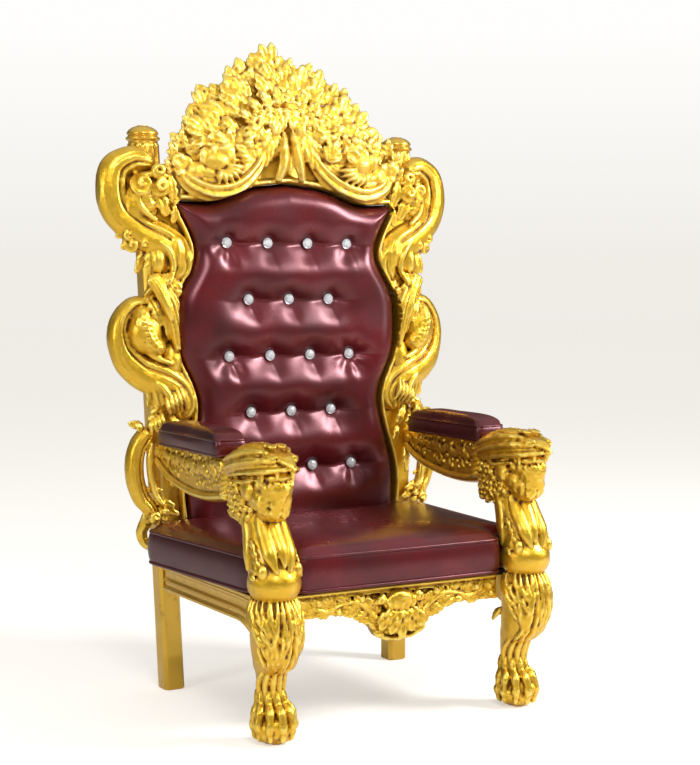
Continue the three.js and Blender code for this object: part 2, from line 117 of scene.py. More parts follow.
@dataclass
class Surface:
    """A closed mesh as arrays: points in millimetres, quads, and a many-sided cap at each open end."""

    points: Array
    quads: Array
    caps: list[Array] = field(default_factory=list)

    @staticmethod
    def joined(parts: Iterable["Surface"]) -> "Surface":
        """Several surfaces as one, their points renumbered in turn."""
        parts = list(parts)
        starts = np.cumsum([0] + [len(p.points) for p in parts[:-1]])
        return Surface(
            np.concatenate([p.points for p in parts]),
            np.concatenate([p.quads + s for p, s in zip(parts, starts)]),
            [cap + s for p, s in zip(parts, starts) for cap in p.caps],
        )

    def outward(self) -> "Surface":
        """The same surface with its faces turned out: the signed volume under its quads is positive."""
        p = self.points - self.points.mean(0)
        a, b, c, d = (p[self.quads[:, k]] for k in range(4))
        volume = np.einsum("ij,ij->", (a + b + c + d) / 4, np.cross(c - a, d - b))
        if volume < 0:
            self.quads = self.quads[:, ::-1]
            self.caps = [cap[::-1] for cap in self.caps]
        return self

    def mirrored(self, side: Side) -> "Surface":
        """Its twin on that side: X is negated and each face is turned round."""
        if side is Side.RIGHT:
            return self
        return Surface(
            self.points * [-1, 1, 1], self.quads[:, ::-1], [cap[::-1] for cap in self.caps]
        )

    def raked(self) -> "Surface":
        """Leant back with the throne's back: Y grows by RAKE times Z."""
        self.points[:, 1] += RAKE * self.points[:, 2]
        return self

    def object(self, name: str, smooth: bool = True) -> bpy.types.Object:
        """A Blender object of this surface, in metres and in the row frame."""
        mesh = bpy.data.meshes.new(name)
        faces = self.quads.tolist() + [cap.tolist() for cap in self.caps]
        mesh.from_pydata(metres(self.points), [], faces)
        mesh.polygons.foreach_set("use_smooth", np.full(len(faces), smooth))
        return linked(name, mesh)


def linked(name: str, data: bpy.types.ID) -> bpy.types.Object:
    """A new object with that data, in the scene."""
    obj = bpy.data.objects.new(name, data)
    bpy.context.scene.collection.objects.link(obj)
    return obj


def metres(points: Array) -> Array:
    """The maker's millimetres as metres in the row frame."""
    return (points + SHIFT).astype(np.float32) * 0.001


def grid(*columns: Array | float) -> Array:
    """Columns of coordinates, spread over each other and stacked into points."""
    return np.stack(np.broadcast_arrays(*columns), -1)



def tube(rings: Array, closed: bool = False) -> Surface:
    """Skins a stack of rings.

    Args:
        rings: points as (ring, place round the ring, 3).
        closed: the last ring joins the first, instead of both ends having a cap.

    Returns:
        The closed surface, faces outwards.
    """
    n, m, _ = rings.shape
    index = np.arange(n * m).reshape(n, m)
    lower = index if closed else index[:-1]
    upper = np.roll(index, -1, axis=0) if closed else index[1:]
    corners = [lower, np.roll(lower, -1, 1), np.roll(upper, -1, 1), upper]
    quads = np.stack(corners, -1).reshape(-1, 4)
    caps = [] if closed else [index[0, ::-1].copy(), index[-1].copy()]
    return Surface(rings.reshape(-1, 3).copy(), quads, caps).outward()


def sweep(
    path: Points,
    half: Row,
    deep: Row,
    facing: Row = FRONT,
    around: int = 20,
    along: int = 40,
    relief: Relief | None = None,
    girth: Relief | None = None,
) -> Surface:
    """A rounded bar carried along a smooth path.

    Each ring is an ellipse, and both ends round off over about one half width.

    Args:
        path: points along its middle.
        half: half widths, evenly spaced along the path.
        deep: half depths towards facing, spaced the same.
        facing: the way its face looks.
        around: points round each ring.
        along: rings along the path.
        relief: multiplies the depth, from the share along the path and the angle round it.
        girth: multiplies width and depth, from the same two.

    Returns:
        The closed surface.
    """
    middle = spline(path, along + 1)
    t = np.linspace(0, 1, along + 1)
    tangent = unit(np.gradient(middle, axis=0))
    look = np.asarray(facing, float)
    out = unit(look - (tangent @ look)[:, None] * tangent)
    across = np.cross(out, tangent)
    a = np.linspace(0, 2 * math.pi, around, endpoint=False)
    length = np.linalg.norm(np.diff(middle, axis=0), axis=1).sum()
    blunt = min(0.45, 0.8 * float(np.mean(half)) / length)
    taper = np.sqrt(np.clip(1 - np.clip(1 - np.minimum(t, 1 - t) / blunt, 0, 1) ** 2, 0.004, 1))
    swell = taper[:, None] * (girth(t[:, None], a) if girth else 1.0)
    wide = swell * eased(half, t)[:, None] * np.cos(a)
    thick = swell * eased(deep, t)[:, None] * np.sin(a) * (relief(t[:, None], a) if relief else 1.0)
    rings = middle[:, None] + across[:, None] * wide[..., None] + out[:, None] * thick[..., None]
    return tube(rings)


def flutes(count: int, depth: float, twist: float = 0.0) -> Relief:
    """Grooves along a bar: the radius dips by depth, count times round it, turning by twist radians."""
    return lambda t, a: 1 - depth * (0.5 + 0.5 * np.cos(count * a + twist * t))


def knuckles(count: float, depth: float) -> Relief:
    """Swellings along a bar: the radius dips by depth between count rounded joints."""
    return lambda t, a: 1 - depth * np.abs(np.cos(math.pi * count * t)) ** 3 + 0 * a


def scroll_face(groove: float = 0.42, strands: float = 0.0) -> Relief:
    """The face of a C-scroll: a broad roll on the outer side, a groove, then an inner bead.

    The depth dips by a narrow bell at each groove; the strands are three fine wandering grooves.
    """

    def relief(t: Array, a: Array) -> Array:
        """The depth's factor: one, less every groove, on the front half of the band."""
        x = np.cos(a)
        front = np.sin(a) > 0
        dip = groove * np.exp(-(((x + 0.3) / 0.1) ** 2)) + 0.26 * np.exp(-(((x + 0.8) / 0.11) ** 2))
        for place, depth in ((0.12, 0.5), (0.5, 0.8), (0.82, 1.0)):
            wander = place + 0.09 * np.sin(5 * t + 9 * place)
            dip = dip + strands * depth * np.exp(-(((x - wander) / 0.05) ** 2))
        return 1 - dip * front + 0 * t

    return relief


def leaf(
    root: Row,
    tip: Row,
    half: float,
    bow: float = 10.0,
    thick: float = 7.0,
    curl: float = 6.0,
    facing: Row = FRONT,
    lobes: int = 4,
    around: int = 16,
    along: int = 22,
) -> Surface:
    """An acanthus leaf, bowed away from the ground, its tip curling out.

    Its edges step into rounded lobes. Its face is pinched along the rib and rippled by side veins.

    Args:
        root: where it starts.
        tip: where it ends.
        half: its half width.
        bow: how far its middle stands out.
        thick: its half thickness.
        curl: how far its tip stands out.
        facing: the way its face looks.
        lobes: the lobes of each edge.
        around: points round each ring.
        along: rings along it.

    Returns:
        The closed surface.
    """
    a, b, look = np.asarray(root, float), np.asarray(tip, float), np.asarray(facing, float)
    path = [
        a,
        a + 0.28 * (b - a) + 0.75 * bow * look,
        a + 0.6 * (b - a) + bow * look,
        a + 0.86 * (b - a) + (0.7 * bow + 0.2 * curl) * look,
        b + curl * look,
    ]

    def edge(t: Array, angle: Array) -> Array:
        """The lobes: the width dips between them."""
        return 1 - 0.3 * np.abs(np.cos(angle)) ** 2 * (1 - np.abs(np.sin(math.pi * lobes * t)) ** 0.7)

    def veins(t: Array, angle: Array) -> Array:
        """The rib's pinch and the side veins' ripple."""
        x = np.abs(np.cos(angle))
        rib = 0.5 * np.exp(-((x / 0.2) ** 2))
        side = 0.16 * (0.5 + 0.5 * np.cos(2 * math.pi * lobes * (t - 0.16 * x) + math.pi)) * (x > 0.15)
        return 1 - rib - side

    widths = [0.4 * half, 0.8 * half, half, 0.92 * half, 0.66 * half, 0.2 * half]
    depths = [thick, thick, thick, 0.8 * thick, 0.6 * thick, 0.4 * thick]
    return sweep(path, widths, depths, facing, around, along, veins, edge)


def spray(
    root: Row,
    tip: Row,
    half: float,
    facing: Row = FRONT,
    bow: float = 10.0,
    thick: float = 7.0,
    fan: Row = (0, 34, -34, 66, -66),
    turn: float = 0.0,
) -> list[Surface]:
    """An acanthus spray: a middle lobe between pairs that spread wider and shorter.

    Args:
        root: its foot.
        tip: the tip of its middle lobe.
        half: half its width.
        facing: the way it faces.
        bow: how far each lobe arches out.
        thick: each lobe's half thickness.
        fan: the lobes' angles, in degrees.
        turn: degrees added to them all.

    Returns:
        One leaf for each lobe.
    """
    a, b, look = np.asarray(root, float), np.asarray(tip, float), unit(np.asarray(facing, float))
    length = np.linalg.norm(b - a)
    ahead = unit(b - a - look * float((b - a) @ look))
    side = np.cross(look, ahead)
    made = []
    for degrees in fan:
        angle = math.radians(degrees + turn)
        spread = abs(degrees) / 66
        way = math.cos(angle) * ahead + math.sin(angle) * side
        foot = a + ahead * length * (0.34 - 0.3 * spread)
        reach = length * (0.66 - 0.16 * spread)
        end = foot + way * reach + look * (2 - 3 * spread)
        made.append(
            leaf(
                foot, end, half * (0.5 - 0.1 * spread), bow * (1 - 0.3 * spread), thick, 0.5 * bow, look,
                lobes=2, around=12, along=13,
            )
        )
    return made


def sprays(rows: Points, sign: int, near: float, far: float, **shape: object) -> list[Surface]:
    """Sprays on one side of the middle.

    Args:
        rows: for each, the X and Z of its foot, the change of X and Z to its tip, and its half width.
        sign: 1 for the right, -1 for the left.
        near: the Y of every foot.
        far: the Y of every tip.
        shape: what else spray takes.

    Returns:
        All their leaves.
    """
    made = []
    for x, z, dx, dz, half in rows:
        made += spray((sign * x, near, z), (sign * (x + dx), far, z + dz), half, **shape)
    return made



def ball(centre: Row, radii: Row, rings: int = 12, around: int = 16) -> Surface:
    """An ellipsoid: cosine and sine of two angles, scaled by the three radii."""
    u = np.linspace(0.04, math.pi - 0.04, rings)[:, None]
    v = np.linspace(0, 2 * math.pi, around, endpoint=False)
    points = grid(np.sin(u) * np.cos(v), np.sin(u) * np.sin(v), np.cos(u))
    return tube(points * np.asarray(radii, float) + np.asarray(centre, float))


def volute(
    centre: Row, radius: float, thick: float, turns: float = 1.6, start: float = 0.0, hand: int = 1
) -> Surface:
    """A spiral roll that faces the front: its radius falls evenly with its angle as it rises to an eye.

    Args:
        centre: the eye's place.
        radius: the outside radius of the spiral.
        thick: half width of the roll where it starts.
        turns: how many times it winds.
        start: the angle of its outer end, in degrees from +X towards +Z.
        hand: 1 winds anticlockwise, -1 clockwise, seen from the front.

    Returns:
        The closed surface.
    """
    t = np.linspace(0, 1, 18)
    angle = math.radians(start) + hand * 2 * math.pi * turns * t
    r = (radius - thick) * (1 - 0.86 * t)
    x, z = centre[0] + r * np.cos(angle), centre[2] + r * np.sin(angle)
    path = np.stack([x, centre[1] - 0.9 * thick * t, z], -1)
    return sweep(path, [thick, 0.8 * thick, 0.62 * thick], [1.1 * thick, thick, thick], around=12, along=44)


def curl(
    centre: Row, out: Row, radius: float, height: float, start: float = 0.0
) -> Surface:
    """A small domed curl: a half ellipsoid whose size dips along a spiral line down from its top.

    Args:
        centre: the middle of its base.
        out: the way it faces.
        radius: its radius at the base.
        height: how far it stands out.
        start: where the groove starts, in radians.

    Returns:
        The closed surface.
    """
    w = unit(np.asarray(out, float))
    u = unit(np.cross(w, (0.1, 0.2, 1.0)))
    v = np.cross(w, u)
    down = np.linspace(0.06, 2.4, 12)[:, None]
    turn = np.linspace(0, 2 * math.pi, 18, endpoint=False)
    size = 1 - 0.3 * (0.5 + 0.5 * np.cos(turn - 6.5 * down + start))
    flat, rise = radius * size * np.sin(down), height * size * np.cos(down)
    rings = flat[..., None] * (np.cos(turn)[:, None] * u + np.sin(turn)[:, None] * v) + rise[..., None] * w
    return tube(rings + np.asarray(centre, float))


def revolved(profile: Points, centre: Row, around: int = 48,
    girth: Relief | None = None) -> Surface:
    """A turned form: radius and height pairs spun about the upright axis through centre.

    Args:
        profile: (radius, height) pairs from the bottom up.
        centre: where height 0 of the axis lies.
        around: points round each ring.
        girth: multiplies the radius, from the share up the profile and the angle.

    Returns:
        The closed surface.
    """
    p = np.asarray(profile, float)
    a = np.linspace(0, 2 * math.pi, around, endpoint=False)
    t = np.linspace(0, 1, len(p))[:, None]
    r = np.maximum(p[:, :1], 0.2) * (girth(t, a) if girth else 1.0)
    rings = grid(r * np.cos(a), r * np.sin(a), p[:, 1:])
    return tube(rings + np.asarray(centre, float))


# ---- fused carving


def lumps(points: Array, size: float) -> Array:
    """Smooth noise from -1 to 1: hashed values at a lattice's corners, blended by eased distances."""
    cell = np.floor(points / size)
    share = points / size - cell
    share = share * share * (3 - 2 * share)
    total = np.zeros(len(points))
    for corner in np.ndindex(2, 2, 2):
        hashed = np.sin((cell + corner) @ [12.9898, 78.233, 37.719]) * 43758.5453
        weight = np.prod(np.where(corner, share, 1 - share), axis=1)
        total += weight * (2 * (hashed - np.floor(hashed)) - 1)
    return total


@dataclass
class MeshArrays:
    """The points, normals and edges of a Blender mesh, for work on whole arrays."""

    mesh: bpy.types.Mesh
    points: Array = field(init=False)
    edges: Array = field(init=False)

    def __post_init__(self) -> None:
        """Reads the mesh."""
        self.points = np.empty(len(self.mesh.vertices) * 3, np.float32)
        self.mesh.vertices.foreach_get("co", self.points)
        self.points = self.points.reshape(-1, 3).astype(float)
        edges = np.empty(len(self.mesh.edges) * 2, np.int32)
        self.mesh.edges.foreach_get("vertices", edges)
        self.edges = edges.reshape(-1, 2)

    def mean(self, values: Array, rounds: int) -> Array:
        """Each value drawn halfway to the mean of its neighbours, rounds times over."""
        n = len(values)
        degree = np.maximum(np.bincount(self.edges.ravel(), minlength=n), 1)[:, None]
        first, second = self.edges.T
        for _ in range(rounds):
            sums = [
                np.bincount(first, v[second], n) + np.bincount(second, v[first], n) for v in values.T
            ]
            values = 0.5 * values + 0.5 * np.stack(sums, -1) / degree
        return values

    def store(self) -> None:
        """Writes the points back."""
        self.mesh.vertices.foreach_set("co", self.points.astype(np.float32).ravel())
        self.mesh.update()

    def normals(self) -> Array:
        """The mesh's vertex normals."""
        found = np.empty(len(self.points) * 3, np.float32)
        self.mesh.vertex_normals.foreach_get("vector", found)
        return found.reshape(-1, 3)

    def mark_hollows(self, rounds: int = 18, reach: float = 0.0022) -> None:
        """Stores "hollow", 0 on ridges and 1 in hollows: how far the local mean lies out along the normal; the
        gilding paints shade and highlights from it.
        """
        away = self.mean(self.points, rounds) - self.points
        depth = np.einsum("ij,ij->i", away, self.normals())
        value = np.clip(0.5 + 0.5 * depth / reach, 0, 1)
        layer = self.mesh.attributes.new("hollow", "FLOAT", "POINT")
        layer.data.foreach_set("value", value.astype(np.float32))


def carved(
    name: str,
    parts: Iterable[Surface],
    side: Side = Side.RIGHT,
    voxel: float = 3.0,
    rounds: int = 1,
    trim: Callable[[Array], Array] | None = None,
    limit: int = 150000,
    rough_by: Callable[[Array], Array] | None = None,
) -> bpy.types.Object:
    """Fuses overlapping closed surfaces into one carved skin.

    Args:
        name: the object's name.
        parts: the closed surfaces.
        side: the side it is for; the left one is mirrored.
        voxel: the skin's fineness, in millimetres.
        rounds: how many times the skin is eased.
        trim: moves points off the neighbours.
        limit: about how many triangles the skin may have.
        rough_by: the height of the casting's lumps at each point.

    Returns:
        The object, with its hollows marked.
    """
    rough = Surface.joined(parts).mirrored(side).object(name + "_rough")
    remesh = rough.modifiers.new("Fuse", "REMESH")
    remesh.mode = "VOXEL"
    remesh.voxel_size = voxel * 0.001
    remesh.use_smooth_shade = True
    graph = bpy.context.evaluated_depsgraph_get()
    mesh = bpy.data.meshes.new_from_object(rough.evaluated_get(graph))
    mesh.name = name
    bpy.data.meshes.remove(rough.data)
    arrays = MeshArrays(mesh)
    arrays.points = arrays.mean(arrays.points, rounds)
    flip = np.array([side.value, 1, 1])
    if rough_by:
        arrays.store()
        where = arrays.points * 1000 * flip - SHIFT
        height = rough_by(where) * (0.62 * lumps(where, 19) + 0.38 * lumps(where + 37, 8.5))
        arrays.points = arrays.points + 0.001 * height[:, None] * arrays.normals()
    if trim:
        kept = trim(arrays.points * 1000 * flip - SHIFT)
        arrays.points = (kept + SHIFT) * 0.001 * flip
    arrays.store()
    arrays.mark_hollows()
    obj = linked(name, mesh)
    whole = 2 * len(mesh.polygons)
    if whole > limit:
        thin = obj.modifiers.new("Thin", "DECIMATE")
        thin.ratio = limit / whole
        graph.update()
        obj.data = bpy.data.meshes.new_from_object(obj.evaluated_get(graph))
        obj.modifiers.clear()
        bpy.data.meshes.remove(mesh)
        obj.data.name = name
    LOG.info("%s: %d triangles from %d", name, sum(len(p.vertices) - 2 for p in obj.data.polygons), whole)
    return obj


# ---- shader tools


class Nodes:
    """A node tree being built, with short calls for its nodes and links."""

    def __init__(self, tree: bpy.types.NodeTree) -> None:
        """Keeps the tree."""
        self.tree = tree

    def add(self, kind: str, **settings: object) -> bpy.types.Node:
        """A node of that kind with these settings."""
        return self.set(self.tree.nodes.new(kind), **settings)

    def set(self, node: bpy.types.Node, **settings: object) -> bpy.types.Node:
        """Sets a node: each setting is one of its properties, or an input with _ for each space."""
        for key, value in settings.items():
            if hasattr(node, key):
                setattr(node, key, value)
            else:
                self.feed(node.inputs[key.replace("_", " ")], value)
        return node

    def feed(self, socket: Socket, value: object) -> None:
        """Links an output to the socket, or sets its plain value."""
        if isinstance(value, Socket):
            self.tree.links.new(value, socket)
        else:
            socket.default_value = value

    def math(self, operation: str, *values: object) -> Socket:
        """The result of a Math node on these values."""
        node = self.add("ShaderNodeMath", operation=operation)
        for socket, value in zip(node.inputs, values):
            self.feed(socket, value)
        return node.outputs[0]

    def mix(self, factor: object, first: object, second: object) -> Socket:
        """Two colours mixed by factor."""
        node = self.add("ShaderNodeMix", data_type="RGBA")
        for index, value in ((0, factor), (6, first), (7, second)):
            self.feed(node.inputs[index], value)
        return node.outputs[2]

    def ramp(self, factor: Socket, *stops: tuple[float,
        tuple[float, ...]]) -> Socket:
        """A colour ramp through (place, colour) stops."""
        node = self.add("ShaderNodeValToRGB")
        elements = node.color_ramp.elements
        while len(elements) < len(stops):
            elements.new(0.5)
        for element, (place, colour) in zip(elements, stops):
            element.position = place
            element.color = (*colour, 1.0)
        self.feed(node.inputs[0], factor)
        return node.outputs[0]

    def remap(self, value: object, low: float, high: float, to_low: float,
        to_high: float) -> Socket:
        """A value's stretch from low to high, mapped to another and held at its ends."""
        node = self.add("ShaderNodeMapRange")
        for socket, v in zip(node.inputs, (value, low, high, to_low, to_high)):
            self.feed(socket, v)
        return node.outputs[0]

    def noise(self, vector: Socket, scale: float, detail: float = 3.0,
        rough: float = 0.55) -> Socket:
        """A noise value over the vector."""
        node = self.add("ShaderNodeTexNoise", Vector=vector, Scale=scale, Detail=detail, Roughness=rough)
        return node.outputs["Fac"]

    def bump(self, strength: float, distance: float, height: object) -> Socket:
        """A normal bumped by a height."""
        node = self.add("ShaderNodeBump", Strength=strength, Distance=distance, Height=height)
        return node.outputs[0]


def started(name: str) -> tuple[Material, Nodes, bpy.types.Node]:
    """A new material, its node builder and its main shader."""
    material = bpy.data.materials.new(name)
    material.use_nodes = True
    tree = material.node_tree
    return material, Nodes(tree), tree.nodes["Principled BSDF"]



@dataclass
class Effect:
    """A new shader group over scaled Object coordinates, with a Height and a mask as its outputs."""

    name: str
    inputs: dict[str, float]
    mask: str
    nodes: Nodes = field(init=False)
    given: bpy.types.Node = field(init=False)
    vector: Socket = field(init=False)

    def __post_init__(self) -> None:
        """Makes the group, its sockets and its scaled coordinates."""
        tree = bpy.data.node_groups.new(self.name, "ShaderNodeTree")
        for label, value in self.inputs.items():
            socket = tree.interface.new_socket(label, in_out="INPUT", socket_type="NodeSocketFloat")
            socket.default_value = value
        for label in ("Height", self.mask):
            tree.interface.new_socket(label, in_out="OUTPUT", socket_type="NodeSocketFloat")
        self.nodes = Nodes(tree)
        self.given = self.nodes.add("NodeGroupInput")
        where = self.nodes.add("ShaderNodeTexCoord").outputs["Object"]
        scaled = self.nodes.add("ShaderNodeVectorMath", operation="SCALE")
        self.nodes.feed(scaled.inputs[0], where)
        self.nodes.feed(scaled.inputs["Scale"], self.given.outputs["Scale"])
        self.vector = scaled.outputs[0]

    def finished(self, height: Socket, mask: Socket) -> bpy.types.NodeTree:
        """The group, with its two outputs linked."""
        self.nodes.add("NodeGroupOutput", **{"Height": height, self.mask: mask})
        return self.nodes.tree


class Effects:
    """The shader groups that several finishes share, each built once."""

    def __init__(self) -> None:
        """Builds the groups."""
        self.cast_grain = self._cast_grain()
        self.hide_grain = self._hide_grain()

    @staticmethod
    def _cast_grain() -> bpy.types.NodeTree:
        """Tool marks and grit: fine noise over soft noise, as a height and a mottling mask."""
        effect = Effect("Tool marks", {"Scale": 1.0, "Grit": 0.5}, "Mottle")
        nodes, vector = effect.nodes, effect.vector
        soft = nodes.noise(vector, 70, 2)
        grit = nodes.noise(vector, 420, 3, 0.6)
        height = nodes.math("ADD", soft, nodes.math("MULTIPLY", grit, effect.given.outputs["Grit"]))
        return effect.finished(height, nodes.noise(vector, 24, 4))

    @staticmethod
    def _hide_grain() -> bpy.types.NodeTree:
        """Leather grain: small rounded cells broken by noise, with slow creases, as a height and a mask."""
        effect = Effect("Hide grain", {"Scale": 1.0, "Crease": 0.5}, "Cloud")
        nodes, vector = effect.nodes, effect.vector
        cells = nodes.add("ShaderNodeTexVoronoi", Vector=vector, Scale=620.0, feature="SMOOTH_F1")
        crease = nodes.math("MULTIPLY", nodes.noise(vector, 38, 4, 0.6), effect.given.outputs["Crease"])
        height = nodes.math("ADD", nodes.math("MULTIPLY", cells.outputs["Distance"], 0.5), crease)
        return effect.finished(height, nodes.noise(vector, 7, 3))


EFFECTS = Effects()


@dataclass(frozen=True)
class Gilding:
    """Bright gold leaf paint, rougher in the hollows; painted shade darkens the hollows to brown and painted
    highlights pale the ridges.
    """

    name: str
    # deep is painted shade for the hollows and ridge a painted highlight for the ridges; body is the gold's own
    # colour. hollows turns this painted shade and highlight on.
    deep: tuple[float, float, float] = (0.13, 0.045, 0.001)
    body: tuple[float, float, float] = (0.79, 0.465, 0.022)
    ridge: tuple[float, float, float] = (1.0, 0.75, 0.13)
    roughness: float = 0.3
    grit: float = 0.5
    bump: float = 0.4
    hollows: bool = True

    def material(self) -> Material:
        """The finished material."""
        material, nodes, shader = started(self.name)
        marks = nodes.add("ShaderNodeGroup", node_tree=EFFECTS.cast_grain, Scale=1.0, Grit=self.grit)
        mottle = nodes.remap(marks.outputs["Mottle"], 0.3, 0.7, -0.07, 0.07)
        if self.hollows:
            hollow = nodes.add("ShaderNodeAttribute", attribute_name="hollow").outputs["Fac"]
        else:
            hollow = nodes.math("ADD", mottle, 0.5)
        level = nodes.math("ADD", hollow, mottle)
        # Painted shade and painted highlight: the ramp turns the hollow measure into brown in the hollows and
        # pale gold on the ridges.
        stops = ((0.18, self.ridge), (0.42, self.body), (0.58, self.body), (0.82, self.deep))
        nodes.set(
            shader,
            Base_Color=nodes.ramp(level, *stops),
            Metallic=0.8,
            Roughness=nodes.remap(level, 0.4, 1.0, self.roughness, self.roughness + 0.28),
            Normal=nodes.bump(self.bump, 0.003, marks.outputs["Height"]),
            Coat_Weight=0.45,
            Coat_Roughness=0.16,
        )
        return material


@dataclass(frozen=True)
class Hide:
    """Glossy burgundy leatherette with a soft grain."""

    name: str
    dark: tuple[float, float, float] = (0.036, 0.003, 0.0022)
    light: tuple[float, float, float] = (0.115, 0.0085, 0.0115)
    roughness: float = 0.3
    coat: float = 0.1
    crease: float = 0.25
    bump: float = 0.22

    def material(self) -> Material:
        """The finished material."""
        material, nodes, shader = started(self.name)
        grain = nodes.add("ShaderNodeGroup", node_tree=EFFECTS.hide_grain, Scale=1.0, Crease=self.crease)
        cloud, rough = grain.outputs["Cloud"], self.roughness
        tone = nodes.remap(cloud, 0.3, 0.7, 0.0, 1.0)
        nodes.set(
            shader,
            Base_Color=nodes.mix(tone, (*self.dark, 1.0), (*self.light, 1.0)),
            Roughness=nodes.remap(cloud, 0.3, 0.7, rough + 0.05, rough - 0.05),
            Normal=nodes.bump(self.bump, 0.0009, grain.outputs["Height"]),
            Coat_Weight=self.coat,
            Coat_Roughness=0.25,
            Coat_IOR=1.5,
            Coat_Tint=(1.0, 0.86, 0.9, 1.0),
            Specular_IOR_Level=0.85,
            Specular_Tint=(1.0, 0.46, 0.52, 1.0),
        )
        return material


@dataclass(frozen=True)
class Plain:
    """A simple finish with a little mottling: metal rims, crystal, lining cloth."""

    name: str
    colour: tuple[float, float, float]
    metallic: float = 0.0
    roughness: float = 0.4
    transmission: float = 0.0

    def material(self) -> Material:
        """The finished material."""
        material, nodes, shader = started(self.name)
        nodes.set(shader, Metallic=self.metallic, Transmission_Weight=self.transmission)
        colour, rough = (*self.colour, 1.0), self.roughness
        if self.transmission:
            nodes.set(shader, Base_Color=colour, Roughness=rough, IOR=1.54)
            return material
        marks = nodes.add("ShaderNodeGroup", node_tree=EFFECTS.cast_grain, Scale=2.0, Grit=0.3)
        mottle = marks.outputs["Mottle"]
        darker = (*(0.7 * c for c in self.colour), 1.0)
        nodes.set(
            shader,
            Base_Color=nodes.mix(mottle, darker, colour),
            Roughness=nodes.remap(mottle, 0.3, 0.7, rough - 0.05, rough + 0.08),
        )
        return material


def made_by(finish: Gilding | Hide | Plain) -> Material:
    """A dataclass field whose first value is that finish's material."""
    return field(default_factory=finish.material)


@dataclass
class Finishes:
    """Every material of the throne, made once."""

    gilt: Material = made_by(Gilding("gilt_carving"))
    # The crest's gilding is a paler copy, painted lighter to stand in for the stronger light on the top:
    # painted light, with less painted shade in its hollows.
    gilt_painted_lit: Material = made_by(
        Gilding("gilt_crest", (0.2, 0.075, 0.003), (0.81, 0.5, 0.042), (1.0, 0.8, 0.22), roughness=0.4)
    )
    gilt_plain: Material = made_by(
        Gilding("gilt_plain", body=(0.80, 0.49, 0.05), grit=0.3, bump=0.14, hollows=False)
    )
    hide: Material = made_by(Hide("burgundy_leather"))
    # A darker, browner copy of the leather: painted shade for the cushions' left and right sides, also used all
    # over the outer back.
    hide_painted_shade: Material = made_by(
        Hide("burgundy_leather_painted_shade", (0.026, 0.007, 0.006), (0.052, 0.013, 0.012), coat=0.2)
    )
    rim: Material = made_by(Plain("button_rim", (0.85, 0.85, 0.9), 0.4, 0.25))
    foil: Material = made_by(Plain("button_foil", (0.95, 0.95, 0.97), 0.35, 0.3))
    crystal: Material = made_by(Plain("crystal", (0.97, 0.98, 1.0), 0.0, 0.03, 0.55))
    lining: Material = made_by(Plain("lining_cloth", (0.03, 0.026, 0.026), 0.0, 0.85))


def dress(
    obj: bpy.types.Object, slot: str, materials: Sequence[Material], *nodes: str
) -> bpy.types.Object:
    """Gives a piece its materials and its place on the root body, and hides the CAD nodes it stands for."""
    for material in materials:
        obj.data.materials.append(material)
    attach(obj, "root")
    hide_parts(*nodes)
    return obj


# ---- the back's outline


@dataclass
class BackOutline:
    """The outline of the upholstered back: two waists, two bulges, pointed shoulders, an arched top."""

    foot: float = 396.0
    shoulder: float = 1337.0
    reach: float = 344.0
    clearance: float = 6.5
    side: Points = (
        (316, 398), (330, 560), (287, 802), (338, 930), (345, 1060), (286, 1198), (344, 1337),
    )
    top: Points = ((344, 1337), (235, 1336), (130, 1372), (0, 1390))

    def half_width(self, z: Array) -> Array:
        """Half the width at each height."""
        line = spline(self.side, 200)
        return np.interp(z, line[:, 1], line[:, 0])

    def top_height(self, x: Array) -> Array:
        """The height of the top edge above each distance from the middle."""
        line = spline(self.top, 200)[::-1]
        return np.interp(np.abs(x), line[:, 0], line[:, 1])

    def keep_clear(self, points: Array) -> Array:
        """Moves points that stand within the clearance of the outline out to its nearer edge."""
        p = points.copy()
        side = self.half_width(p[:, 2]) + self.clearance
        top = self.top_height(p[:, 0]) + self.clearance
        inside = (np.abs(p[:, 0]) < side) & (p[:, 2] < top) & (p[:, 2] > self.foot)
        sideways = side - np.abs(p[:, 0])
        upwards = top - p[:, 2]
        to_side = inside & (sideways <= upwards)
        to_top = inside & ~to_side
        p[to_side, 0] = np.sign(p[to_side, 0]) * side[to_side]
        p[to_top, 2] = top[to_top]
        return p


OUTLINE = BackOutline()


# ---- posts, rails and seat frame


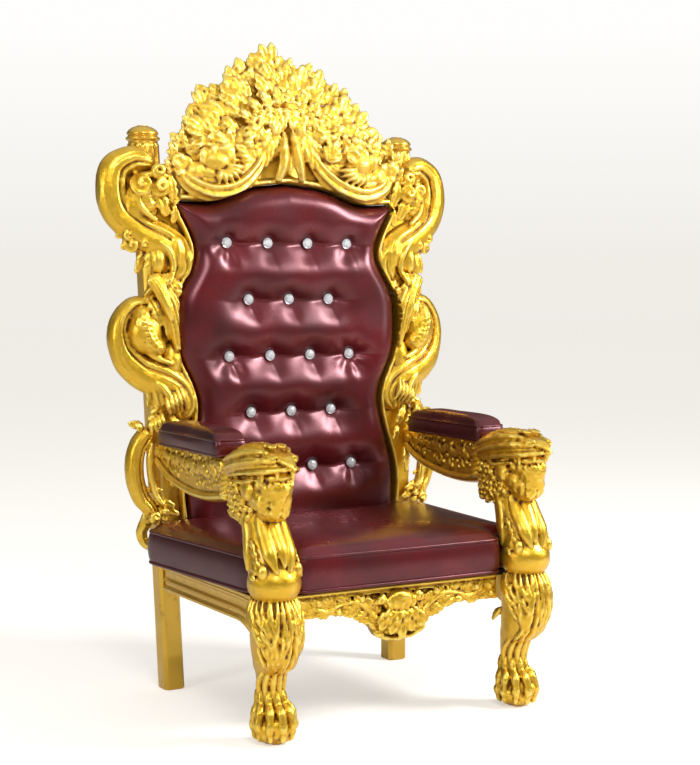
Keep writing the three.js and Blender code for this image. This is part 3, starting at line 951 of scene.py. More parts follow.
@dataclass
class BackPost:
    """A raked back post: a chamfered square timber that turns into a reeded finial under a dome."""

    x: float = 359.0
    y: float = 314.0
    reeds: int = 12

    def surface(self) -> Surface:
        """One skin from foot to dome.

        Each ring blends from a chamfered square to a circle whose reeds are a cosine ripple.
        """
        profile = np.array(
            [
                (0.2, 0), (27, 0), (30, 3), (30, 500), (30, 1000), (30, 1375), (31, 1388), (35, 1394),
                (42, 1400), (43.5, 1406), (40, 1411), (39, 1416), (43, 1422), (43.5, 1460), (43, 1494),
                (39.5, 1499), (40, 1503), (46, 1507), (46.5, 1512), (41, 1516), (39.5, 1519), (43.5, 1522),
                (43, 1526), (38, 1533), (28, 1540), (14, 1544.5), (0.2, 1546),
            ]
        )
        a = np.linspace(0, 2 * math.pi, 96, endpoint=False)
        height = np.concatenate([np.linspace(p, q, 6)[:-1] for p, q in zip(profile[:-1, 1], profile[1:, 1])])
        height = np.unique(np.concatenate([height, profile[:, 1]]))
        radius = np.interp(height, profile[1:-1, 1], profile[1:-1, 0])
        radius[[0, -2, -1]] = 26.0, 9.0, 2.0
        c, s = np.abs(np.cos(a)), np.abs(np.sin(a))
        square = 1 / np.maximum(np.maximum(c, s), (c + s) / 1.70)
        round_share = np.clip((height - 1380) / 25, 0, 1)[:, None]
        section = square * (1 - round_share) + round_share
        barrel = ((height > 1419) & (height < 1497))[:, None]
        reed = 1 - 0.1 * barrel * np.abs(np.cos(self.reeds * a / 2)) ** 4
        r = radius[:, None] * section * reed
        z = height[:, None]
        return tube(grid(self.x + SPLAY * z + r * np.cos(a), self.y + RAKE * z + r * np.sin(a), z))

    def build(self, finishes: Finishes) -> None:
        """Both posts."""
        for side in Side:
            obj = self.surface().mirrored(side).object(f"post_{side.word}")
            dress(obj, "gilt", [finishes.gilt_plain], f"back_post_{side.word}")


@dataclass
class SideRail:
    """A moulded seat rail: fillets, a hollow and a bead run from the front leg to the back post."""

    outer: float = 396.0
    bottom: float = 282.0
    front: float = -256.0
    rear: float = 283.4

    def surface(self) -> Surface:
        """The moulding's profile, carried straight from front to rear; its foot swells down at the leg."""
        profile = np.array(
            [
                (-36, 0), (0, 0), (0, 7), (-3, 9), (-6, 12), (-7, 17), (-6, 22), (-2, 25), (0, 28),
                (-1, 31), (-5, 33), (-6, 36), (-6, 50), (-5, 53), (-1, 55), (1, 58), (3, 61), (3.5, 64),
                (2, 66), (3, 68), (3, 74), (-36, 74),
            ],
            float,
        )
        t = np.linspace(0, 1, 40)
        y = self.front + (self.rear - self.front) * t
        drop = 26 * np.clip(1 - t / 0.16, 0, 1) ** 2
        low = (1 - profile[:, 1] / 74)[None, :]
        z = self.bottom + profile[None, :, 1] - drop[:, None] * low
        return tube(grid(self.outer + profile[:, 0], y[:, None], z))

    def build(self, finishes: Finishes) -> None:
        """Both rails, with the plain back rail and the seat board dressed as they are."""
        for side in Side:
            obj = self.surface().mirrored(side).object(f"rail_{side.word}")
            bevel = obj.modifiers.new("Soft edges", "BEVEL")
            bevel.width = 0.0008
            bevel.segments = 2
            dress(obj, "gilt", [finishes.gilt_plain], f"side_rail_{side.word}")
        for name, material in (("back_rail", finishes.gilt_plain), ("seat_board", finishes.lining)):
            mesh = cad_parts[name].data
            mesh.materials.clear()
            mesh.materials.append(material)


# ---- carved sides


@dataclass
class SideCarving:
    """Three C-scrolls with their shells, curls, combs and leaves, hung on a bead round the back."""

    inner: float = 252.0
    outer: float = 292.0
    width: float = 548.0
    seat_top: float = 464.0
    bottom: float = 372.0
    seat_rear: float = 301.0
    roughness: float = 0.7
    voxel: float = 2.5
    limit: int = 90000

    def at(self, x: float, z: float, out: float = 0.0) -> tuple[float, float, float]:
        """A place on the carving's middle surface, set back as it passes the post, and out from it."""
        share = min(max((x - 380) / 120, 0), 1)
        return (x, self.inner + (self.outer - self.inner) * share - out, z)

    def line(self, points: Points, out: float = 0.0) -> list[tuple[float, float, float]]:
        """A path through (x, z) or (x, z, out) points."""
        return [self.at(p[0], p[1], (p[2] if len(p) > 2 else 0) + out) for p in points]

    def scrolls(self) -> list[Surface]:
        """The three main bands."""
        first = [(398, 1438), (450, 1452), (496, 1426), (508, 1374), (492, 1310), (444, 1264), (384, 1230),
            (338, 1196), (328, 1160), (344, 1122)]
        second = [(412, 1066), (462, 1060), (500, 1006), (494, 940), (450, 884), (384, 852), (338, 820),
            (324, 786), (342, 748)]
        third = [(424, 724), (456, 678), (467, 602), (452, 538), (428, 500), (430, 468, -26), (440, 436, -34),
            (428, 404, -34), (412, 396, -30)]
        face = scroll_face(0.34, 0.09)
        return [
            sweep(self.line(first), [24, 36, 44, 46, 46, 48, 50, 43, 26], [28, 33, 36, 36, 34, 30, 27, 24, 20],
                around=44, along=120, relief=face),
            sweep(self.line(second), [16, 20, 24, 32, 46, 52, 48, 36, 24], [22, 29, 33, 34, 32, 29, 26, 23, 20],
                around=44, along=110, relief=face),
            sweep(self.line(third), [22, 25, 26, 26, 24, 20, 16, 12], [25, 28, 28, 26, 22, 18, 14, 12],
                around=40, along=110, relief=face),
        ]

    def rims(self) -> list[Surface]:
        """Thin rolled edges that follow the scrolls on both sides."""
        lines = [
            [(366, 1404), (404, 1410), (444, 1400), (452, 1364), (440, 1320), (400, 1284)],
            [(404, 1236), (372, 1204), (360, 1164), (368, 1130)],
            [(424, 1034), (452, 1016), (456, 975), (436, 938), (402, 912), (366, 898)],
            [(430, 860), (396, 834), (378, 800), (380, 764)],
            [(430, 690), (436, 640), (430, 580), (418, 540), (400, 516)],
        ]
        return [
            sweep(self.line(points, 22), [5, 9, 10, 9, 6], [9, 12, 12, 11, 7], around=14, along=56)
            for points in lines
        ]

    def shells(self) -> list[Surface]:
        """The fluted concave ends that the scrolls open into, and the scaled cap of the second."""
        ribs = lambda t, a: 1 - 0.34 * (0.5 + 0.5 * np.cos(15 * np.cos(a))) * (np.sin(a) > 0) + 0 * t
        scales = lambda t, a: 1 - 0.13 * np.abs(np.sin(9 * math.pi * t + 4 * np.cos(a))) * np.abs(np.cos(7 * a))
        return [
            sweep(self.line([(420, 1250), (392, 1200), (384, 1140)]), [26, 36, 26], [20, 26, 16], around=40,
                along=40, relief=ribs),
            sweep(self.line([(446, 890), (404, 846), (386, 770)]), [24, 38, 26], [20, 26, 16], around=40,
                along=44, relief=ribs),
            ball(self.at(434, 984, 10), (48, 38, 58), 26, 36),
            sweep(self.line([(440, 1060), (444, 1010), (424, 958), (388, 930)], 14), [18, 32, 34, 24],
                [22, 40, 38, 24], around=40, along=60, relief=scales),
            sweep(self.line([(398, 1120), (372, 1060), (356, 1000), (352, 930)], 20), [16, 30, 26, 8],
                [18, 26, 22, 10], around=40, along=50, relief=ribs),
            sweep(self.line([(424, 1140), (402, 1100), (384, 1050), (372, 1010)], 34), [22, 20, 14, 6],
                [10, 16, 16, 8], around=36, along=44, relief=ribs),
            curl(self.at(436, 1380, 14), (0.2, -1, 0.2), 36, 34, 2.0),
            curl(self.at(392, 1376, 16), (-0.1, -1, 0.1), 30, 32, 4.0),
            curl(self.at(462, 1222, 8), (0.4, -1, -0.2), 26, 26, 1.0),
            ball(self.at(398, 1180, 8), (22, 24, 40), 14, 20),
            sweep(self.line([(356, 1252), (344, 1204), (342, 1150)], 2), [22, 36, 24], [24, 30, 20], around=40,
                along=40, girth=flutes(14, 0.05)),
            ball(self.at(440, 1330, 0), (44, 26, 60), 14, 20),
            ball(self.at(468, 990, -8), (28, 16, 50), 14, 20),
            ball(self.at(470, 1390, -8), (28, 16, 46), 14, 20),
            ball(self.at(360, 905, -2), (30, 24, 50), 14, 20),
            sweep(self.line([(398, 1396), (424, 1352), (402, 1308)]), [22, 32, 22], [26, 34, 24], around=32,
                along=40, relief=scales),
        ]

    def curls(self) -> list[Surface]:
        """Volutes in the mouths of the scrolls and under them."""
        places = [
            (394, 1420, 30, 11, 200, 1), (474, 1246, 22, 8, 120, -1), (436, 1226, 20, 8, 60, 1),
            (410, 1128, 17, 7, 10, 1), (372, 1106, 15, 6, 180, 1), (346, 1092, 15, 6, 90, -1),
            (330, 1064, 12, 5, 0, 1), (404, 1008, 16, 6, 180, -1), (352, 946, 16, 6, 20, 1),
            (334, 984, 12, 5, 70, 1), (430, 736, 18, 7, 90, 1), (404, 722, 17, 7, 200, -1),
            (462, 728, 16, 6, 20, 1), (376, 716, 14, 6, 180, 1), (424, 486, 22, 9, 250, 1),
            (396, 500, 14, 6, 90, -1),
        ]
        return [
            volute(self.at(x, z, 22), radius, thick, 1.5, start, hand)
            for x, z, radius, thick, start, hand in places
        ]

    def leaves(self) -> list[Surface]:
        """Acanthus leaves, blades and comb ribs."""
        broad = [
            ((398, 1300), (462, 1388), 26, 14), ((366, 1296), (412, 1396), 22, 16),
            ((346, 1330), (364, 1420), 18, 14), ((352, 1278), (334, 1352), 14, 10),
            ((446, 1254), (492, 1206), 20, 8), ((452, 1262), (508, 1240), 16, 8),
            ((410, 1222), (424, 1120), 24, 16), ((430, 1210), (456, 1140), 16, 10),
            ((362, 1130), (326, 1078), 16, 12), ((376, 1120), (352, 1050), 16, 14),
            ((402, 1132), (436, 1060), 18, 14), ((356, 1060), (334, 990), 13, 10),
            ((398, 1110), (372, 960), 20, 20), ((428, 1088), (396, 1000), 16, 26),
            ((366, 970), (334, 922), 12, 10), ((410, 880), (432, 780), 20, 12),
            ((396, 790), (436, 720), 22, 16), ((372, 762), (344, 700), 14, 12),
            ((400, 750), (386, 676), 18, 14), ((442, 730), (486, 740), 15, 8),
            ((350, 700), (330, 640), 11, 8), ((418, 528), (364, 512), 15, 12),
            ((410, 512), (352, 486), 15, 10), ((430, 508), (452, 478), 16, 8),
            ((412, 500), (390, 470), 15, 10), ((376, 640), (372, 560), 13, 8),
            ((440, 560), (396, 556), 11, 10),
        ]
        made = [leaf(self.at(*r), self.at(*t, 4), half, bow=bow, thick=8) for r, t, half, bow in broad]
        combs = [
            ((404 - 9 * i, 1140 + 2 * i), (440 - 11 * i, 1082 + 3 * i)) for i in range(6)
        ] + [((348 + 11 * i, 838 - 7 * i), (330 + 12 * i, 772 - 3 * i)) for i in range(5)]
        combs += [((404 + 9 * i, 768 - 6 * i), (392 + 12 * i, 730 - 8 * i)) for i in range(4)]
        made += [
            sweep(self.line([r, ((r[0] + t[0]) / 2 + 3, (r[1] + t[1]) / 2 - 3, 8), t], 22), [4, 5.5, 3],
                [8, 10, 4], around=10, along=16)
            for r, t in combs
        ]
        return made

    def ground(self) -> list[Surface]:
        """The backing board and the bead that runs round the upholstery."""
        z = np.linspace(462, 1440, 80)
        low, high = OUTLINE.half_width(z) + 4, np.interp(z, [462, 720, 1100, 1200, 1300, 1440],
            [392, 400, 414, 420, 462, 452])
        high = np.maximum(high, low + 40)
        rows = np.stack([low, high, high, low], 1)
        board = tube(grid(rows, np.array([262.0, 262.0, 283.0, 283.0]), z[:, None]))
        z = np.linspace(470, 1330, 30)
        edge = grid(OUTLINE.half_width(z) + 12, 250, z)
        return [board, sweep(edge, [6, 6], [15, 15], around=12, along=160)]

    def trim(self, points: Array) -> Array:
        """Keeps the carving off the upholstery and the seat, and inside the throne's width."""
        p = OUTLINE.keep_clear(points)
        lowest = np.where(p[:, 1] < self.seat_rear, self.seat_top, self.bottom)
        p[:, 2] = np.maximum(p[:, 2], lowest)
        p[:, 0] = np.minimum(p[:, 0], self.width)
        return p

    def build(self, finishes: Finishes) -> None:
        """Both carvings."""
        parts = self.scrolls() + self.rims() + self.shells() + self.curls() + self.leaves() + self.ground()
        whole = Surface.joined(parts).raked()
        rough = lambda p: self.roughness + 0 * p[:, 0]
        for side in Side:
            name = f"scrollwork_{side.word}"
            obj = carved(name, [whole], side, self.voxel, 1, self.trim, self.limit, rough)
            dress(obj, "gilt", [finishes.gilt], f"side_carving_{side.word}")


# ---- crest


@dataclass
class Crest:
    """The foliate crest: ranks of sprays climb to a peak over two finned dolphins."""

    ridge: Points = ((360, 1482), (338, 1536), (288, 1612), (218, 1670), (140, 1722), (68, 1764), (0, 1792))
    seed: int = 7
    lean: float = 46.0
    drift: float = -9.0
    top: float = 1800.0
    voxel: float = 2.5
    limit: int = 142000

    def leant(self, surface: Surface) -> Surface:
        """Bends the upper crest back, and a little to one side, along an eased ramp of its height."""
        share = np.clip((surface.points[:, 2] - 1440) / 350, 0, 1)
        ease = share * share * (3 - 2 * share)
        surface.points[:, 1] += self.lean * ease
        surface.points[:, 0] += self.drift * ease
        return surface

    def slab(self) -> Surface:
        """The ground board: columns from the foot of the crest to a little under its skyline."""
        x = np.linspace(-326, 326, 90)
        line = spline(self.ridge, 120)[::-1]
        top = np.interp(np.abs(x), line[:, 0], line[:, 1]) - 36 - 0.1 * np.abs(x)
        foot = np.minimum(OUTLINE.top_height(x) + 3, top - 20)
        rows = np.stack([foot, top, top, foot], 1)
        return tube(grid(x[:, None], np.array([243.0, 256.0, 298.0, 314.0]), rows))

    def foliage(self) -> list[Surface]:
        """Ranks of sprays set square to the skyline, each with a seeded wobble."""
        random = np.random.default_rng(self.seed)
        line = spline(self.ridge, 240)
        step = np.gradient(line, axis=0)
        normal = unit(np.stack([-step[:, 1], step[:, 0]], -1))
        normal *= np.sign(normal[:, 1:2] + 1e-6)
        made = []
        ranks = (
            (2, 10, 92, 40, 270), (30, 9, 98, 44, 257), (64, 8, 94, 44, 248), (100, 7, 90, 42, 242),
            (136, 6, 84, 40, 238), (172, 5, 74, 36, 236),
        )
        for rank, (inset, count, length, half, depth) in enumerate(ranks):
            for i in range(count):
                share = (i + 0.5 * (rank % 2) + 0.35) / count
                k = int(np.clip(share, 0, 0.995) * 239)
                for sign in (1, -1):
                    wobble = random.normal(0, 1, 6)
                    root = line[k] - normal[k] * (inset + length * 0.86) + 3 * wobble[4:6]
                    if root[0] < 4 or (root[0] < 100 and root[1] < 1606):
                        continue
                    way = unit(normal[k] + [0.25 * wobble[0], 0.2 + 0.2 * wobble[1]])
                    tip = root + way * length * (1 + 0.1 * wobble[2])
                    near = depth + 5 * wobble[3]
                    made += spray(
                        (sign * root[0], near, root[1]), (sign * tip[0], near - 4, tip[1]),
                        half * (1 + 0.12 * wobble[3]),
                        bow=9 + 2 * wobble[2], thick=10, fan=(0, 22, -22, 46, -46), turn=12 * wobble[0],
                    )
        made += spray((0, 268, 1690), (0, 278, 1797), 40, bow=12, thick=12)
        for sign in (1, -1):
            made += spray((sign * 26, 268, 1660), (sign * 58, 276, 1744), 36, bow=16, thick=11)
            made += spray((sign * 10, 262, 1640), (sign * 22, 262, 1708), 34, bow=18, thick=10)
        return made

    def tuft(self) -> list[Surface]:
        """The heavy overhang in the middle, whose leaves droop over the hollow."""
        made = []
        for sign in (1, -1):
            for x, z, dx, dz, half in (
                (10, 1606, 4, -62, 24), (38, 1604, 18, -52, 24), (66, 1592, 26, -44, 22),
                (92, 1572, 26, -40, 20), (14, 1620, 8, 44, 26), (48, 1612, 20, 40, 26),
                (82, 1594, 28, 36, 24), (112, 1566, 30, 30, 22), (112, 1550, 14, -46, 18),
            ):
                facing = (0, -1, -0.15 if dz < 0 else 0.2)
                root, tip = (sign * x, 222, z), (sign * (x + dx), 210, z + dz)
                made += spray(root, tip, half, facing, bow=14, thick=9)
        return made

    def dolphins(self) -> list[Surface]:
        """Two finned bodies that sweep from the corners, under a comb of rays, up to the middle."""
        made = []
        body = [(338, 250, 1428), (300, 240, 1390), (238, 232, 1371), (168, 232, 1388), (110, 238, 1434),
            (74, 246, 1494), (66, 254, 1540)]
        crestline = [(318, 236, 1452), (262, 226, 1416), (200, 222, 1412), (146, 226, 1436), (108, 234, 1476)]
        lower = [(330, 236, 1398), (286, 226, 1364), (240, 222, 1352), (180, 224, 1360), (132, 230, 1388),
            (96, 236, 1430)]
        for sign in (1, -1):
            turn = lambda points: [(sign * x, y, z) for x, y, z in points]
            for line, half, deep, around, along, girth in (
                (body, [22, 32, 37, 36, 30, 22, 12], [22, 32, 37, 35, 28, 22, 14], 72, 120,
                    flutes(8, 0.2, 3.4 * sign)),
                (crestline, [7, 10, 11, 9, 5], [12, 15, 15, 13, 8], 24, 80, flutes(3, 0.2, 5)),
                (lower, [6, 9, 10, 9, 6, 4], [10, 13, 14, 12, 9, 6], 24, 80, flutes(3, 0.2, -4)),
            ):
                made.append(sweep(turn(line), half, deep, FRONT, around, along, girth=girth))
            for i in range(6):
                angle = math.radians(188 + 19 * i)
                c, d = math.cos(angle), math.sin(angle)
                fin = [(222 + 20 * c, 208, 1440 + 16 * d), (222 + 42 * c, 200, 1440 + 33 * d)]
                fin.append((214 + 66 * c, 208, 1440 + 50 * d))
                made.append(sweep(turn(fin), [4, 8, 3], [12, 15, 8], around=14, along=26))
            flow = [(14, 240, 1540), (19, 224, 1500), (24, 214, 1450), (40, 226, 1398)]
            made.append(sweep(turn(flow), [8, 15, 16, 10], [14, 17, 17, 10], around=30, along=54,
                girth=flutes(5, 0.16, 2)))
            veil = ((48, 1560, 20, -110, 36), (70, 1520, 30, -96, 34), (34, 1586, 6, -60, 32),
                (88, 1566, 24, -60, 32))
            made += sprays(veil, sign, 238, 222, bow=12, thick=9, fan=(0, 20, -20, 42, -42))
            made.append(ball((sign * 226, 224, 1450), (42, 24, 32), 16, 24))
            made += spray((sign * 262, 226, 1436), (sign * 176, 212, 1490), 60, bow=16, thick=10)
            made.append(ball((sign * 286, 240, 1420), (40, 26, 32), 14, 20))
            made += spray((sign * 300, 238, 1412), (sign * 356, 222, 1462), 54, bow=14, thick=10)
            made.append(volute((sign * 126, 222, 1500), 19, 7.5, 1.6, 180, sign))
            leaves = (
                (310, 1474, -50, 26, 20), (270, 1478, -34, 48, 20), (228, 1484, -16, 52, 20),
                (186, 1494, -4, 50, 19), (208, 1448, -40, 24, 15), (148, 1496, -16, 48, 18),
                (330, 1484, -4, 52, 20), (344, 1452, 20, 46, 18), (160, 1462, -34, 22, 13),
                (286, 1446, -40, 22, 15), (352, 1420, 26, 30, 16), (250, 1500, -44, 30, 18),
            )
            made += sprays(leaves, sign, 246, 238, bow=16, thick=9)
        made.append(leaf((0, 236, 1500), (0, 224, 1420), 15, bow=12, thick=9, curl=6))
        return made

    def rim(self) -> Surface:
        """The smooth moulding that follows the arched top of the upholstery."""
        x = np.linspace(-334, 334, 41)
        path = grid(x, 246, OUTLINE.top_height(x) + 15)
        return sweep(path, [8, 8], [17, 17], around=16, along=200)

    def trim(self, points: Array) -> Array:
        """Keeps the crest off the upholstery."""
        p = OUTLINE.keep_clear(points)
        p[:, 2] = np.minimum(p[:, 2], self.top)
        return p

    def build(self, finishes: Finishes) -> None:
        """The crest, as one carved skin."""
        upper = self.leant(Surface.joined([self.slab()] + self.foliage() + self.tuft()))
        whole = Surface.joined([upper, self.rim()] + self.dolphins()).raked()
        rough = lambda p: 1.6 + 1.4 * np.clip((p[:, 2] - 1455) / 70, 0, 1)
        obj = carved("crest_carving", [whole], Side.RIGHT, self.voxel, 2, self.trim, self.limit, rough)
        dress(obj, "gilt", [finishes.gilt_painted_lit], "crest")


# ---- apron


@dataclass
class Apron:
    """The front rail: a sunk panel of paired acanthus scrolls, a fluted boss and a leafy drop."""

    half: float = 304.5
    top: float = 356.0
    face: float = -297.0

    def lower_edge(self, x: Array) -> Array:
        """The height of the scalloped lower edge at each distance from the middle."""
        line = spline([(0, 210), (48, 219), (92, 264), (150, 294), (215, 294), (304.5, 288)], 120)
        return np.interp(np.abs(x), line[:, 0], line[:, 1])

    def panel(self) -> list[Surface]:
        """The board, its top fillet and the bead along its lower edge."""
        x = np.linspace(-self.half, self.half, 120)
        low = self.lower_edge(x)
        top = np.full_like(x, self.top)
        rows = np.stack([low, top, top, low], 1)
        made = [tube(grid(x[:, None], self.face + np.array([0, 0, 33.0, 33.0]), rows))]
        y = self.face - 2
        for z, size in ((351, 5.5), (340, 3)):
            ends = [(-self.half, y, z), (self.half, y, z)]
            made.append(sweep(ends, [size] * 2, [size + 3] * 2, around=12, along=60))
        edge = grid(x, y, low + 6)
        made.append(sweep(edge, [5.5, 5.5], [8, 8], around=12, along=160))
        return made

    def leafwork(self) -> list[Surface]:
        """Scrolling stems with leaves to both sides, mirrored about the boss."""
        made = []
        y = self.face - 3
        for sign in (1, -1):
            stem = [(56, 262), (92, 300), (130, 322), (176, 318), (214, 306), (250, 318), (286, 330)]
            made.append(sweep([(sign * x, y, z) for x, z in stem], [7, 8, 7, 6, 4], [12, 13, 12, 10, 7],
                around=14, along=80, girth=flutes(3, 0.15, 8)))
            rows = (
                (62, 280, 36, 52, 26), (84, 284, 52, -4, 22), (104, 302, 30, 40, 22),
                (122, 308, 44, -18, 22), (144, 318, 40, 26, 22), (160, 314, 46, -16, 20),
                (188, 314, 36, 30, 20), (204, 306, 42, -10, 20), (228, 312, 30, 32, 20),
                (240, 314, 42, -14, 20), (262, 320, 34, 20, 18), (268, 316, 34, -18, 18),
                (50, 250, 44, 24, 22), (44, 238, 36, 2, 18),
            )
            made += sprays(rows, sign, y + 2, y + 2, bow=6, thick=7, fan=(0, 26, -26, 52, -52))
            for x, z, r in ((112, 330, 11), (180, 300, 11), (236, 328, 10), (284, 306, 9), (70, 318, 12)):
                made.append(volute((sign * x, y - 6, z), r, 4.5, 1.4, 90, sign))
        return made

    def boss(self) -> list[Surface]:
        """A smooth oval boss with a fluted skirt over five hanging leaves."""
        y = self.face
        skirt = flutes(14, 0.12)
        made = [
            sweep([(0, y - 2, 346), (0, y - 8, 318), (0, y - 8, 282)], [40, 54, 46], [14, 22, 18], around=72,
                along=30, girth=skirt),
            ball((0, y - 10, 320), (38, 20, 25), 18, 26),
        ]
        for turn in (-2, -1, 0, 1, 2):
            made += spray((turn * 17, y - 10, 296), (turn * 33, y - 8, 218 + 13 * abs(turn)), 34, bow=10,
                thick=8, fan=(0, 24, -24))
        for turn in (-1.5, -0.5, 0.5, 1.5):
            made += spray((turn * 20, y - 14, 300), (turn * 30, y - 12, 252 + 6 * abs(turn)), 26, bow=9,
                thick=7, fan=(0, 30, -30))
        for sign in (1, -1):
            made.append(volute((sign * 58, y - 10, 322), 19, 7, 1.6, 90, sign))
        return made

    def build(self, finishes: Finishes) -> None:
        """The apron, as one carved skin."""
        trim = lambda p: np.stack([np.clip(p[:, 0], -304.4, 304.4), p[:, 1], np.clip(p[:, 2], 208, 356)], -1)
        rough = lambda p: 2.6 * np.clip((345 - p[:, 2]) / 8, 0, 1)
        parts = self.panel() + self.leafwork() + self.boss()
        obj = carved("apron_carving", parts, voxel=2.3, trim=trim, limit=70000, rough_by=rough)
        dress(obj, "gilt", [finishes.gilt], "apron")


# ---- lion legs


@dataclass
class LionLeg:
    """A front leg carved in one: paw on a ball, hairy haunch, smooth bulb, draped neck, lion's head."""

    x: float = 374.0
    seed: int = 3
    nose: float = -444.5
    nape: float = -160.0
    rail_heights: tuple[float, float] = (284.0, 356.0)
    rail_front: float = -256.4
    rail_side: float = 396.0
    seat_heights: tuple[float, float] = (358.0, 470.0)
    seat_front: float = -257.4
    seat_side: float = 304.6
    voxel: float = 2.2
    limit: int = 98000
    # height, middle X, middle Y, half width, half depth of the limb
    limb: Points = (
        (80, 362, -300, 34, 37), (100, 362, -291, 30, 32), (130, 363, -286, 30, 31),
        (165, 364, -292, 35, 37), (190, 366, -306, 44, 48), (220, 368, -322, 53, 58),
        (255, 370, -331, 58, 65), (288, 371, -331, 60, 66), (320, 372, -328, 58, 62),
        (356, 372, -325, 50, 54),
    )
    # the same for the neck above the bulb
    neck: Points = (
        (372, 372, -328, 58, 60), (400, 372, -329, 61, 62), (440, 373, -322, 58, 58),
        (480, 374, -306, 52, 54), (520, 374, -288, 47, 50), (560, 374, -270, 46, 48),
        (600, 374, -256, 46, 48),
    )

    def skin(self, table: Points, z: float, turn: float, out: float = 0.0) -> tuple[float, float, float]:
        """A place on the limb's or neck's oval skin.

        Args:
            table: the ovals.
            z: the height.
            turn: degrees round from straight ahead, positive towards +X.
            out: how far off the skin.

        Returns:
            The point.
        """
        rows = np.asarray(table, float)
        cx, cy, rx, ry = (float(np.interp(z, rows[:, 0], rows[:, k])) for k in (1, 2, 3, 4))
        angle = math.radians(turn)
        return (cx + (rx + out) * math.sin(angle), cy - (ry + out) * math.cos(angle), z)

    def off(self, sign: int, points: Points) -> list[tuple[float, float, float]]:
        """Points given from the leg's middle plane, moved to one side of it."""
        return [(self.x + sign * px, py, pz) for px, py, pz in points]

    def core(self, table: Points, around: int = 48) -> Surface:
        """The plain form under the carving, an oval at every height."""
        rows = spline(np.asarray(table, float), 60)
        a = np.linspace(0, 2 * math.pi, around, endpoint=False)
        x = rows[:, 1:2] + rows[:, 3:4] * np.cos(a)
        y = rows[:, 2:3] + rows[:, 4:5] * np.sin(a)
        return tube(grid(x, y, rows[:, :1]))

    def strand(
        self, table: Points, places: Points, half: Row, deep: Row, grooves: int = 0
    ) -> Surface:
        """A lock, fold or tendon laid on the skin through (height, turn, out) places."""
        path = [self.skin(table, *place) for place in places]
        turn = math.radians(places[len(places) // 2][1])
        facing = (math.sin(turn), -math.cos(turn), 0.02)
        around = 12 + 2 * grooves
        girth = flutes(grooves, 0.24, 1.5) if grooves else None
        return sweep(path, half, deep, facing, around, 30, girth=girth)

    def foot(self) -> list[Surface]:
        """A lumpy ball cut flat below, gripped by knuckled toes with claws."""
        lumpy = lambda t, a: (
            1 + 0.06 * np.sin(3 * a + 8 * t) + 0.05 * np.cos(5 * a - 11 * t) + 0.03 * np.sin(11 * a + 23 * t)
        )
        u = np.linspace(0.03, math.pi - 0.03, 26)
        profile = np.stack([50 * np.sin(u), 38 - 43 * np.cos(u)], -1)
        made = [revolved(profile, (363, -310, 0), 56, lumpy)]
        toe = (
            (363, -288, 27, 27, 134), (362, -296, 33, 33, 98), (363, -308, 45, 44, 76),
            (363, -310, 52, 51, 47), (363, -310, 47, 46, 20),
        )
        claw = ((363, -310, 50, 49, 32), (363, -310, 49, 48, 19), (363, -310, 41, 40, 8))
        for turn in (-114, -76, -38, 0, 38, 76, 114):
            c, s = -math.cos(math.radians(turn)), math.sin(math.radians(turn))
            bone, nail = ([(x + rx * s, y + ry * c, z) for x, y, rx, ry, z in rows] for rows in (toe, claw))
            facing = (s, c, 0.3)
            made.append(sweep(bone, [8, 11, 12, 12, 6], [9, 12, 12, 11, 6], facing, 20, 54,
                girth=knuckles(3, 0.2)))
            made.append(sweep(nail, [7, 6, 3], [7, 6, 3], (s, c, 0.02), 12, 20))
        return made

    def limb_work(self) -> list[Surface]:
        """Tendons down the shank, a spur behind it, and the haunch's long sweeping hair."""
        made = [self.core(self.limb)]
        for turn in (-78, -46, -14, 14, 46, 78):
            places = [(112, turn, 1), (145, turn, 2), (185, 0.8 * turn, -4)]
            made.append(self.strand(self.limb, places, [6, 8, 5], [7, 8, 4]))
        made.append(leaf((326, -290, 262), (318, -262, 222), 12, bow=4, thick=8, curl=3, facing=(-1, 0.4, 0)))
        random = np.random.default_rng(self.seed)
        ranks = ((360, 114, 18, 0.0), (334, 100, 17, 0.5), (304, 80, 14, 0.2), (272, 60, 11, 0.6),
            (242, 42, 8, 0.1))
        for z, reach, count, offset in ranks:
            for i in range(count):
                share = (i + offset) / (count - 1) * 2 - 1
                turn = reach * share + 2.5 * random.normal()
                end = turn * (0.62 if abs(turn) > 30 else 1.5) + 5 * random.normal()
                drop = (84 if abs(turn) < 50 else 66) * (1 + 0.16 * random.normal())
                low = max(z - drop, 172)
                fall, swing = z - low, end - turn
                near, far = turn + 0.15 * swing, turn + 0.6 * swing
                places = [(z, turn, 1), (z - 0.35 * fall, near, 5), (z - 0.72 * fall, far, 5), (low, end, 1)]
                made.append(self.strand(self.limb, places, [3.5, 7, 6.5, 1.5], [5, 9, 8, 2], 2))
        return made

